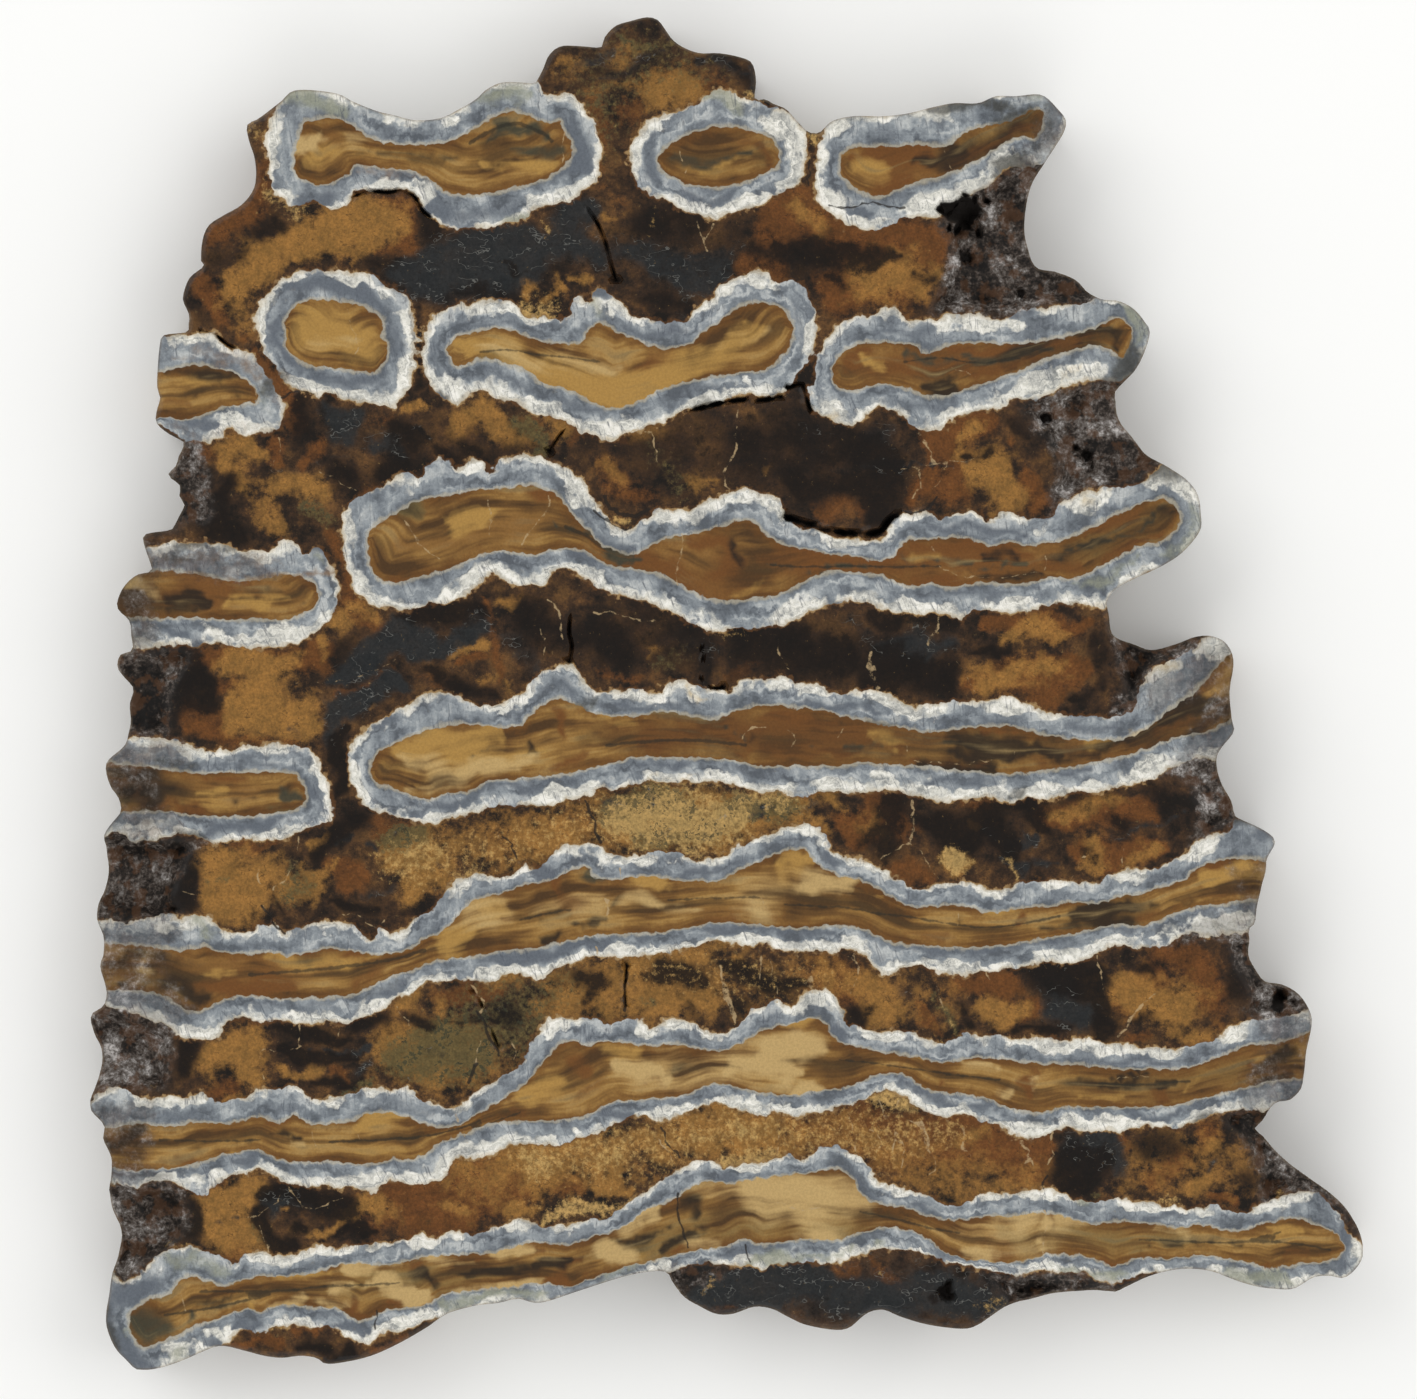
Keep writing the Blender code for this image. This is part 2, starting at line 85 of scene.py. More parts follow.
# The plates. Each has two loops in plan units: round its enamel, and round the dentine inside it.
# Plates that reach the tooth's side run out past the outline.
PLATES = {
    "top_left": ("""
271,181 268,159 264,138 271,118 280,100 296,86 335,90 366,104 394,111 415,116 440,114 461,104 487,85
504,78 535,80 543,92 553,95 569,93 582,102 587,113 593,122 599,138 602,156 598,174 587,191 572,200
553,205 535,208 526,218 504,225 480,228 464,228 444,226 436,219 423,211 415,196 400,189 384,192 366,190
355,191 349,204 334,210 320,204 311,200 296,208 282,200 274,190
""", """
296,147 294,165 299,178 320,185 335,181 348,174 354,165 378,167 406,170 427,178 440,188 458,194 489,193
513,187 541,181 556,171 570,159 572,144 563,132 560,121 541,122 527,115 511,112 495,115 482,125 458,138
436,144 406,145 381,142 363,135 348,122 335,118 320,118 305,122 300,135
"""),
    "top_middle": ("""
630,141 630,165 636,181 645,191 664,200 679,208 694,214 708,219 725,216 743,211 762,205 771,196 786,191
800,184 804,168 807,147 804,130 789,113 774,106 755,101 740,96 725,89 708,93 699,102 685,109 670,113
651,118 641,129
""", """
657,162 664,150 679,139 694,132 713,127 731,127 755,132 774,141 778,153 777,167 762,174 737,184 713,187
688,184 667,174
"""),
    "top_right": ("""
814,196 815,171 817,150 823,132 832,118 853,112 884,112 909,109 933,103 954,99 978,99 996,92 1015,92
1036,90 1048,94 1061,108 1070,120 1067,134 1044,164 1012,167 996,182 981,192 966,198 951,211 927,219
905,217 893,225 872,230 847,226 832,214 820,204
""", """
840,171 841,156 853,148 872,146 890,147 915,145 944,147 966,133 987,126 1012,121 1027,112 1042,109
1042,127 1036,138 1021,136 1003,143 981,158 957,170 935,178 918,181 899,190 878,196 860,190 847,181
"""),
    "second_edge": ("""
140,335 162,335 185,332 213,333 227,349 244,350 259,364 270,379 279,392 285,407 283,422 274,431 256,434
237,434 227,428 222,439 198,441 185,441 161,425 140,425
""", """
140,373 161,373 182,367 207,366 231,372 247,381 256,392 256,402 241,404 222,407 207,413 189,419 167,418
140,415
"""),
    "second_left": ("""
254,318 256,336 268,355 280,373 293,387 317,396 329,392 345,399 372,404 391,410 401,399 409,385 414,364
414,343 415,321 409,301 397,289 378,278 354,272 323,269 299,272 277,283 262,300
""", """
285,330 286,318 296,306 311,300 335,301 360,306 375,314 384,321 381,336 389,349 381,367 372,372 348,370
332,367 314,366 296,358 286,346
"""),
    "second_middle": ("""
421,352 426,333 436,315 458,304 479,303 498,300 516,303 526,315 541,317 556,320 569,315 572,297 584,295
590,303 598,287 612,294 624,306 639,317 661,323 676,318 684,323 694,310 705,300 714,300 717,286 731,278
752,271 768,275 777,283 795,280 807,294 814,312 817,330 811,355 798,376 786,392 768,398 740,395 722,402
700,407 682,413 664,422 645,428 627,434 609,441 593,436 575,428 556,419 535,413 514,402 500,402 482,392
467,398 455,404 440,395 427,379 423,364
""", """
447,349 458,336 476,333 495,328 516,332 541,341 566,344 581,343 590,329 602,323 615,332 636,340 651,346
667,349 691,344 706,330 722,320 734,310 755,303 777,306 789,317 794,333 783,355 765,369 740,373 716,375
691,381 664,387 645,398 630,404 615,408 596,404 581,395 563,387 541,382 526,370 504,362 482,357 473,361
458,366 450,359
"""),
    "second_right": ("""
809,401 812,382 817,364 824,343 838,324 856,317 875,315 884,306 899,309 905,321 924,320 941,318 956,315
981,314 1002,320 1024,309 1051,306 1079,303 1104,297 1122,297 1138,306 1150,320 1154,333 1149,352
1138,370 1120,382 1094,380 1076,384 1051,395 1039,401 1018,399 996,409 972,413 950,422 938,429 920,432
911,425 898,413 880,407 863,419 850,427 838,422 820,415
""", """
832,378 835,361 847,349 866,343 893,343 915,345 926,355 947,346 981,343 1015,344 1045,341 1076,334
1100,326 1116,317 1131,326 1131,340 1122,358 1110,349 1088,346 1064,352 1039,361 1015,372 993,381
972,386 950,395 926,395 911,389 880,384 856,390 838,387
"""),
    "third_edge": ("""
120,552 146,549 167,542 192,542 213,543 231,546 244,551 262,549 271,551 280,540 296,543 305,554 317,549
329,557 337,572 340,591 335,612 326,627 311,636 296,644 268,647 241,649 216,644 192,646 173,644 152,647
133,649 105,652
""", """
105,578 151,572 167,571 198,575 228,580 256,580 280,575 302,577 314,583 319,594 314,606 302,615 280,620
256,618 231,620 204,618 182,617 158,618 133,617 100,617
"""),
    "third_long": ("""
342,529 342,514 351,505 361,494 378,488 397,477 412,473 422,478 427,466 438,458 448,460 454,467 462,467
472,459 485,460 491,470 504,459 529,453 547,457 560,465 575,474 587,486 596,502 605,514 618,528 630,531
642,520 657,509 679,511 697,508 706,502 725,494 746,490 771,493 781,499 783,511 789,520 804,528 820,529
832,537 856,539 881,539 889,526 901,514 917,511 932,511 941,519 966,510 981,516 993,523 999,513 1012,510
1027,517 1048,517 1057,508 1070,496 1094,490 1119,487 1140,484 1155,469 1170,464 1190,477 1202,494
1206,514 1204,533 1186,555 1165,569 1134,582 1118,592 1106,606 1079,606 1061,603 1039,609 1015,615 993,612
969,612 960,621 944,615 918,613 893,613 878,606 860,603 841,601 823,609 804,615 786,624 765,627 746,629
725,630 710,632 694,624 676,615 654,606 636,598 618,597 602,589 587,581 575,572 553,572 547,584 526,587
507,583 495,574 480,581 473,591 455,600 427,606 412,612 391,610 372,604 357,591 348,572 345,554
""", """
368,548 369,532 384,520 400,512 415,502 436,497 458,494 479,490 507,488 526,485 544,488 560,499 572,514
587,529 602,545 618,552 630,555 645,549 664,540 688,534 706,531 725,525 743,520 758,525 765,535 786,545
811,551 835,555 860,557 881,561 896,554 907,540 933,540 953,537 972,540 990,546 1009,542 1024,545
1051,543 1076,536 1097,525 1119,514 1140,504 1162,498 1174,505 1181,513 1175,530 1159,543 1140,545
1119,556 1094,569 1073,579 1048,577 1027,583 1002,583 978,582 950,588 935,583 911,586 892,579 881,575
860,572 835,571 817,575 798,584 780,594 755,598 725,601 706,597 688,589 670,578 651,571 633,568 615,566
596,558 581,549 560,548 535,554 507,551 479,555 458,566 436,572 415,578 397,583 381,580 371,569
"""),
    "fourth_edge": ("""
95,737 129,737 152,737 176,741 198,749 219,750 244,747 268,744 290,744 308,750 320,764 329,783 332,804
329,821 311,827 299,835 271,841 244,839 219,843 204,839 182,835 161,838 136,844 118,832 95,832
""", """
95,766 136,766 161,769 189,773 219,773 250,772 274,772 293,773 302,784 306,795 302,806 283,812 256,815
225,816 198,815 173,812 146,810 121,812 95,812
"""),
    "fourth_long": ("""
348,770 349,749 360,734 378,721 397,711 412,701 436,692 458,695 476,704 495,704 513,698 526,686 541,672
553,667 569,664 581,675 590,689 602,692 624,689 645,689 661,695 664,684 679,679 694,684 713,690 731,689
746,678 765,681 780,675 795,682 817,684 832,692 847,693 866,689 884,692 899,701 915,707 933,704 950,701
981,701 1009,696 1027,704 1045,710 1064,716 1088,715 1113,718 1134,707 1146,674 1162,664 1186,652
1211,633 1240,625 1250,770 1206,758 1175,767 1151,780 1126,786 1096,792 1068,792 1056,799 1029,798
1013,804 995,798 976,798 946,801 921,797 905,792 884,790 853,793 823,792 798,796 774,792 749,792 725,783
700,781 676,783 651,781 633,784 615,790 602,787 587,798 572,799 550,806 532,807 511,805 492,805 476,813
455,816 436,824 415,821 394,816 375,813 361,801 352,789
""", """
371,773 372,761 384,749 403,740 424,731 443,726 467,724 498,727 519,726 529,716 544,704 560,699 575,704
590,711 612,716 639,716 664,711 688,716 713,719 737,711 762,705 792,707 823,711 853,719 884,725 915,731
931,733 961,729 1001,726 1029,731 1059,738 1090,740 1120,740 1142,731 1163,715 1185,700 1198,689
1220,664 1245,650 1250,715 1234,718 1206,731 1175,737 1145,749 1114,758 1084,764 1053,769 1022,773
992,773 961,770 931,767 893,764 863,763 832,766 801,766 774,766 749,764 731,760 694,758 657,757 633,757
615,763 596,766 572,772 541,776 511,780 489,781 467,792 446,793 430,799 412,796 394,787 377,784
"""),
    "fifth": ("""
75,920 98,920 140,920 161,914 182,919 195,916 210,916 222,930 234,933 250,928 262,922 277,925 286,934
305,926 326,920 348,923 363,933 372,940 381,928 397,933 406,925 421,914 436,908 446,890 458,878 479,874
504,876 522,864 538,867 553,850 566,845 578,845 596,842 605,850 612,856 633,855 654,853 673,851 691,859
716,858 734,848 752,841 771,833 792,825 814,825 826,835 830,850 847,856 869,862 887,868 893,878 905,882
915,890 940,884 967,882 1001,887 1029,882 1056,881 1071,881 1096,882 1114,873 1136,868 1145,871 1169,864
1185,850 1203,838 1224,832 1240,818 1258,820 1290,832 1285,930 1249,934 1234,934 1209,936 1188,933
1169,943 1145,948 1114,948 1096,953 1074,963 1044,962 1022,968 995,971 970,975 940,974 918,966 899,969
887,975 872,966 863,954 847,948 835,954 811,951 786,951 765,945 740,946 719,940 700,945 676,951 654,954
633,959 612,957 596,957 578,960 553,971 538,980 519,973 504,974 491,983 467,979 446,980 427,985 412,995
397,997 384,1009 366,1015 351,1023 335,1024 317,1024 299,1024 280,1020 262,1024 244,1017 227,1024
219,1037 198,1040 179,1038 173,1032 150,1020 103,1006 75,1000
""", """
75,945 103,945 130,945 155,948 182,951 204,946 225,953 250,954 271,953 290,956 308,953 326,949 348,951
369,954 391,954 412,949 424,939 440,933 455,920 470,902 489,896 504,893 526,885 550,881 569,871 587,867
593,878 621,879 645,876 670,879 694,881 719,881 740,870 765,859 786,851 804,850 817,865 835,874 860,881
881,891 899,902 918,908 943,905 967,907 995,913 1022,908 1047,907 1071,902 1096,904 1120,896 1142,894
1160,887 1182,881 1197,868 1215,862 1240,859 1264,861 1290,862 1290,897 1252,899 1221,904 1191,908
1169,916 1145,925 1114,925 1084,931 1053,936 1022,942 992,946 961,948 931,945 909,945 884,939 863,928
832,925 801,928 771,926 740,923 710,923 679,930 648,933 618,934 587,936 556,943 532,949 495,952 467,957
436,960 415,969 391,977 372,985 354,994 329,997 305,998 274,998 250,995 228,998 210,1006 192,1012
173,1001 155,992 106,991 75,990
"""),
    "sixth": ("""
70,1101 90,1101 100,1092 118,1087 136,1095 155,1099 173,1095 189,1098 201,1092 216,1101 234,1101
247,1095 253,1087 274,1090 293,1083 305,1090 314,1099 332,1098 351,1093 372,1087 391,1089 409,1089
421,1101 436,1104 455,1106 470,1095 489,1083 507,1072 522,1061 530,1041 541,1037 541,1024 553,1017
572,1020 593,1017 609,1024 624,1017 642,1021 653,1029 664,1021 688,1021 706,1031 725,1032 740,1024
749,1011 765,1006 777,1000 792,1008 804,994 820,988 835,995 844,1012 847,1023 869,1029 893,1031 918,1032
930,1040 942,1044 955,1037 986,1034 1016,1038 1047,1037 1071,1040 1093,1038 1114,1044 1139,1046
1160,1049 1182,1047 1203,1043 1224,1034 1243,1021 1267,1018 1298,1013 1320,1010 1325,1095 1290,1103
1266,1112 1248,1112 1226,1112 1208,1118 1195,1123 1180,1129 1153,1126 1134,1127 1119,1133 1104,1129
1085,1132 1067,1126 1055,1132 1036,1139 1021,1138 1003,1132 993,1123 975,1119 960,1115 938,1117 919,1109
910,1101 895,1093 883,1092 870,1097 855,1104 837,1107 818,1112 794,1118 775,1113 769,1119 763,1118
748,1112 733,1109 719,1103 708,1106 690,1113 671,1116 656,1121 635,1118 613,1124 598,1135 577,1139
555,1144 534,1144 509,1145 499,1152 484,1159 457,1158 450,1173 435,1182 411,1185 389,1182 374,1194
352,1188 334,1188 313,1187 294,1185 276,1178 258,1170 242,1173 227,1176 212,1188 196,1196 181,1185
160,1181 135,1187 114,1184 90,1180
""", """
75,1129 103,1129 124,1125 146,1124 170,1127 195,1122 219,1124 244,1121 262,1116 277,1124 296,1115
308,1124 329,1124 351,1121 369,1113 391,1113 412,1119 433,1127 458,1125 479,1113 504,1098 526,1083
544,1061 566,1040 587,1046 599,1041 624,1043 651,1046 676,1044 700,1050 725,1050 746,1040 768,1029
789,1024 814,1018 826,1024 835,1040 856,1047 884,1052 915,1057 940,1063 976,1058 1007,1060 1038,1064
1068,1064 1099,1067 1123,1070 1154,1069 1175,1070 1200,1064 1224,1055 1246,1046 1276,1043 1307,1034
1330,1030 1330,1075 1292,1078 1272,1081 1251,1086 1229,1092 1205,1098 1183,1104 1165,1106 1140,1107
1116,1107 1091,1107 1070,1106 1049,1110 1033,1113 1015,1109 1000,1104 981,1097 959,1093 941,1092
922,1086 907,1075 895,1072 876,1075 855,1084 834,1089 809,1093 788,1095 763,1093 745,1089 720,1083
702,1086 684,1095 659,1098 635,1101 616,1101 592,1113 576,1119 546,1121 518,1121 490,1124 466,1133
441,1142 417,1158 392,1159 365,1164 334,1161 300,1162 276,1158 257,1149 233,1153 209,1159 184,1167
160,1168 135,1171 112,1167 85,1165
"""),
    "seventh": ("""
100,1320 106,1290 113,1270 120,1283 141,1271 153,1259 166,1248 184,1247 205,1250 224,1257 235,1263
248,1253 267,1254 285,1256 307,1251 322,1245 343,1247 365,1245 386,1243 404,1239 420,1234 435,1239
447,1231 466,1234 487,1231 505,1222 527,1219 546,1227 561,1224 573,1225 586,1220 601,1219 616,1211
632,1199 650,1188 668,1178 684,1165 696,1161 711,1161 727,1168 745,1162 763,1162 782,1155 800,1159
812,1156 821,1145 837,1147 852,1152 864,1161 873,1170 876,1179 892,1187 910,1190 929,1196 947,1204
962,1204 984,1193 1000,1194 1015,1193 1030,1188 1049,1188 1064,1194 1079,1201 1098,1202 1116,1198
1137,1201 1159,1204 1177,1207 1192,1210 1211,1204 1229,1208 1244,1211 1260,1205 1275,1198 1290,1191
1306,1188 1327,1201 1342,1219 1349,1234 1368,1250 1360,1273 1344,1282 1315,1281 1306,1286 1293,1293
1275,1293 1254,1290 1232,1283 1214,1276 1195,1273 1174,1274 1147,1273 1131,1280 1116,1283 1098,1280
1082,1274 1064,1273 1046,1271 1027,1273 1012,1276 993,1273 975,1268 957,1265 938,1260 929,1257 913,1251
898,1250 880,1248 864,1254 843,1260 824,1265 812,1260 803,1265 794,1262 779,1263 766,1271 754,1265
745,1266 723,1265 708,1263 684,1268 665,1275 641,1277 613,1284 576,1296 540,1307 518,1303 499,1307
475,1310 438,1318 420,1326 401,1332 386,1332 374,1340 359,1343 343,1337 331,1326 313,1328 294,1326
276,1326 261,1335 247,1328 233,1335 221,1350 202,1356 184,1364 160,1372 136,1375 120,1363 108,1348
100,1330
""", """
138,1308 147,1300 169,1294 181,1280 193,1277 212,1283 227,1286 242,1280 261,1276 279,1276 300,1276
322,1271 340,1265 362,1263 386,1265 404,1262 423,1257 447,1256 472,1254 493,1253 515,1247 533,1242
558,1245 580,1243 595,1236 610,1233 629,1224 647,1210 665,1204 681,1194 696,1185 711,1181 727,1184
745,1181 763,1178 785,1175 806,1173 828,1170 843,1170 855,1182 864,1198 880,1204 901,1207 922,1214
941,1220 959,1220 972,1219 990,1216 1012,1216 1033,1214 1055,1214 1073,1220 1094,1224 1116,1222
1134,1222 1156,1225 1177,1228 1202,1225 1223,1231 1241,1231 1260,1225 1278,1220 1296,1219 1315,1224
1330,1231 1342,1240 1345,1250 1336,1257 1321,1262 1303,1263 1284,1266 1269,1269 1254,1263 1232,1260
1214,1256 1192,1256 1171,1259 1153,1257 1134,1259 1113,1266 1101,1260 1082,1256 1064,1254 1046,1254
1030,1260 1006,1263 981,1260 963,1259 944,1251 929,1239 919,1234 901,1228 880,1228 861,1233 843,1239
821,1240 800,1239 775,1243 760,1245 745,1237 733,1243 714,1248 690,1251 668,1257 644,1263 622,1268
601,1276 586,1280 573,1288 561,1285 540,1283 518,1286 490,1288 466,1291 444,1294 426,1305 407,1308
389,1309 374,1315 365,1321 352,1318 340,1308 319,1308 294,1305 276,1305 261,1312 245,1309 227,1314
215,1321 199,1323 184,1332 169,1338 153,1344 144,1350 135,1338 130,1326 130,1314
"""),
}

# Crust below the polish: the deepest fall in millimetres, then a loop round the place.
CRUSTS = (
    (1.20, "946,228 958,204 985,190 1012,172 1046,160 1090,200 1080,262 1104,290 1090,304 1040,308 "
           "1000,317 960,312 930,316 940,290 952,262"),
    (1.05, "1012,404 1052,396 1096,382 1140,380 1150,430 1166,462 1130,482 1092,489 1064,499 1048,515 "
           "1054,485 1060,458 1044,434 1026,418"),
    (1.30, "1114,630 1150,640 1200,628 1215,634 1180,652 1156,666 1144,680 1136,704 1114,716 1124,690 "
           "1118,664"),
    (0.90, "1168,770 1204,760 1234,744 1256,806 1238,820 1206,836 1184,850 1202,818 1192,790"),
    (1.10, "1226,940 1262,930 1276,975 1306,976 1322,1008 1268,1017 1244,1020 1254,998 1238,970"),
    (1.25, "1222,1116 1290,1104 1272,1132 1320,1170 1372,1214 1352,1228 1330,1204 1306,1190 1278,1200 "
           "1262,1204 1262,1176 1250,1150"),
    (0.60, "176,441 198,442 206,470 214,505 206,524 160,530 166,500 160,470"),
    (0.85, "105,652 152,650 196,650 184,672 172,700 168,734 120,736 112,690"),
    (1.60, "92,834 118,833 160,840 202,840 190,852 178,876 174,902 184,914 140,920 84,922 90,880"),
    (1.25, "82,1006 106,1008 150,1022 170,1034 172,1062 168,1092 120,1086 84,1098 88,1050"),
    (1.35, "100,1188 116,1188 158,1183 180,1188 188,1214 180,1240 156,1256 122,1282 104,1270 108,1230"),
    (1.20, "984,1272 1016,1278 1048,1274 1080,1276 1116,1286 1118,1300 1062,1300 1016,1306 1000,1292"),
    (0.80, "658,1270 684,1269 716,1265 722,1276 700,1284 676,1290"),
    (0.20, "100,545 150,545 240,552 300,575 230,578 160,574 150,600 160,650 100,655"),
    (0.20, "90,735 200,745 190,762 150,766 160,800 190,835 90,840"),
    (0.20, "80,925 170,915 190,930 160,950 170,985 200,1010 170,1034 80,1010"),
    (0.20, "80,1100 160,1100 150,1125 150,1160 180,1190 80,1190"),
    (0.20, "1140,680 1240,630 1250,700 1240,770 1160,776 1180,750 1215,690 1150,712"),
    (0.20, "1230,870 1300,850 1300,930 1170,945 1200,920 1240,905"),
    (0.20, "1240,1010 1320,1000 1320,1100 1230,1120 1240,1090 1270,1040"),
    (0.15, "1060,90 1070,130 1020,200 940,225 960,195 1010,165 1040,120"),
)

# Gaps that have opened: half-width and depth in millimetres, then the way each runs.
GAPS = (
    (0.20, 1.0, "352,197 367,191 388,192 402,190 415,197 424,212 438,220"),
    (0.17, 0.9, "581,201 595,219 605,241 611,264 616,280"),
    (0.24, 1.4, "685,412 715,404 738,400 762,400 781,396"),
    (0.20, 1.0, "787,388 802,384 806,397 811,410"),
    (0.31, 1.6, "786,517 810,524 832,531 856,533 879,532 888,521 898,513"),
    (0.20, 1.2, "700,638 703,656 700,674 706,687 722,688"),
    (0.16, 0.9, "571,612 569,632 572,646 569,662"),
    (0.16, 0.9, "200,331 213,333 228,345 243,349 251,342"),
    (0.15, 0.8, "549,451 559,436 566,428"),
    (0.14, 0.8, "627,966 625,984 626,1006"),
    (0.14, 0.8, "473,991 484,1009 489,1024 498,1046"),
)

# Round pits in the crust: place in plan units, then radius and depth in millimetres.
PITS = (
    (966, 213, 1.25, 1.8), (966, 256, 0.42, 0.8), (1021, 292, 0.36, 0.8), (1047, 417, 0.52, 0.8),
    (1088, 455, 0.50, 0.9), (1280, 1003, 0.70, 1.1), (944, 1293, 0.52, 1.0),
)

# Hair cracks, dark and pale, and the dark lines along the dentine: half-width in millimetres, then
# the way each runs.
DARK_CRACKS = """
.05 595,510 618,527 632,528
.12 605,498 615,510 632,515 650,512
.06 830,205 850,206 880,204 905,208
.05 283,398 293,392 314,393
.05 808,160 810,185
.07 937,497 930,505 918,510 905,511
.08 585,800 592,815 597,830 598,842
.08 262,905 270,918 284,934
.11 627,972 625,985 624,1000 625,1013
.09 478,1010 484,1025 492,1040 498,1055
.10 476,1061 473,1072 470,1083
.05 503,835 512,848 518,858
.06 660,1130 668,1145 680,1157
.06 679,1194 678,1210 682,1222 686,1235 688,1247
.05 745,1247 750,1262
.07 1048,1176 1043,1184 1046,1190
.06 376,1310 375,1330
"""
PALE_CRACKS = """
.08 405,520 412,532 425,548 440,560
.08 487,500 492,515 488,535
.09 549,497 546,515 530,530 520,547
.09 683,535 682,550 678,565 676,585
.09 735,410 735,430 736,450 729,463 724,476 729,488
.09 652,432 655,448 656,462
.07 628,430 650,432
.06 681,150 684,162 687,175
.05 941,146 948,160 952,172
.06 345,307 352,325 358,345 354,355
.06 318,472 332,476 345,486 356,490
.08 698,222 702,238 706,252
.06 712,222 707,238
.05 250,382 257,395 257,403
.06 278,438 279,450 273,466
.06 565,133 563,150 564,168
.10 918,434 925,444 932,456
.09 920,470 920,485 918,490 912,500
.07 948,468 940,480 932,488
.05 900,470 930,464 960,460 978,457
.05 935,366 955,369 975,378
.05 934,545 936,560 940,568 960,575 1000,577 1040,571
.06 1043,545 1046,560 1044,570
.04 290,684 318,684 345,680 375,670 400,655
.06 299,838 298,850 300,858
.09 548,600 558,608 562,625 562,640
.05 540,628 545,645 540,660
.08 595,612 620,614 640,620 655,621
.06 777,640 782,655 790,670
.07 872,662 876,680 878,692
.06 742,742 748,730 765,726
.06 780,727 795,740 792,750
.05 845,722 840,742
.08 496,825 500,842 508,855 513,862
.12 940,618 934,630 927,645
.12 872,652 868,664 872,678 880,688
.11 914,800 913,820 911,838
.06 880,858 900,848 912,840
.06 912,842 925,860 935,875
.05 905,745 910,758 930,762 960,764 990,760
.06 1090,850 1080,862 1072,878
.05 1125,850 1122,865
.04 955,660 965,676 975,692
.04 1015,750 1015,758
.06 262,862 257,875 262,885
.09 264,907 270,916 277,926
.08 299,860 292,868 286,878 272,888
.05 325,913 355,916 372,925 385,922
.06 300,1022 300,1046
.06 338,1022 337,1035
.05 262,1060 264,1078
.06 398,1008 402,1018 408,1024
.05 258,1051 290,1050 303,1045
.05 452,1108 458,1124
.05 180,888 195,895
.09 470,985 478,995 485,1003 482,1012
.06 510,1040 515,1050 512,1062
.09 720,965 722,980 725,995 730,1010 735,1022
.09 727,985 731,1000 736,1015
.08 758,950 760,966 762,978
.07 770,980 776,990 778,1000
.05 770,962 773,975
.05 812,975 815,990
.07 855,955 860,970 855,980 850,992
.06 858,962 848,955
.05 803,985 808,975
.09 604,897 608,905 606,915
.06 760,895 763,905
.08 622,868 620,880
.07 597,945 598,955
.05 475,1060 480,1050 482,1040
.09 453,1108 460,1122
.09 463,1133 466,1145
.06 730,1090 733,1105
.06 655,1135 665,1148 672,1160
.06 775,1118 778,1140 777,1160
.06 852,1115 855,1150
.06 935,985 940,1000 946,1012
.08 1097,955 1100,970 1103,985 1105,995
.12 1118,1037 1130,1020 1142,1005
.05 1143,1003 1165,985
.06 985,970 990,980
.05 1033,1075 1033,1092
.06 957,915 957,927
.05 1115,1078 1140,1078 1150,1076
.07 880,1100 885,1120 895,1130 893,1150
.06 900,1100 890,1115
.06 910,1120 920,1130 925,1150
.06 870,1130 880,1140 876,1155
.06 1020,1140 1030,1155 1033,1168
.06 965,1130 962,1150
.08 1010,1140 1025,1145 1030,1155 1025,1163
.07 920,1120 925,1135 930,1150 935,1165 930,1175
.06 960,1125 965,1140 960,1150 970,1155
.07 1050,1130 1052,1150 1050,1165
.05 895,1130 905,1150 900,1165
.08 1043,1212 1045,1235 1043,1258
.08 262,1225 266,1240 270,1246 268,1255
.07 288,1187 294,1196 302,1204
.06 242,1218 262,1212 275,1202 281,1194
.05 300,1208 320,1206 340,1200
.05 312,1132 316,1146
.05 356,1125 361,1146
.05 180,1292 185,1310
.06 765,1198 780,1203 795,1209 820,1208
"""
DARK_LINES = """
.12 470,143 488,132 505,125 520,124 540,132 552,141
.10 565,527 585,535 605,548
.06 770,565 800,567 850,566 900,567 940,566
.05 480,352 510,350 540,355 575,358 600,362
.10 606,746 640,742 680,740 715,742 745,745
.05 905,362 940,358 980,363 1020,358
.10 250,975 300,971 350,966 400,958 425,950
.08 262,1052 290,1050 320,1048
.08 264,1075 266,1085
.07 520,920 545,914 570,910
.05 668,900 720,898 760,897
.07 785,905 820,906 850,908 880,914
.06 880,914 910,917 940,922 980,927 1020,924 1060,916
.05 475,1130 500,1120 520,1112
.05 840,1060 870,1063 900,1067 950,1074 1000,1080
.07 1100,1083 1140,1085 1190,1081
.08 165,1315 200,1310 240,1302 270,1294
.07 200,1292 240,1291 280,1291 320,1287 360,1285 400,1283
.07 330,1142 380,1140 420,1137 460,1128 480,1120
.05 160,1140 220,1141 260,1140
.06 860,1212 900,1220 930,1228 960,1233
.06 1140,1240 1200,1242 1240,1242 1280,1232
.06 1240,1242 1290,1243 1330,1250
"""

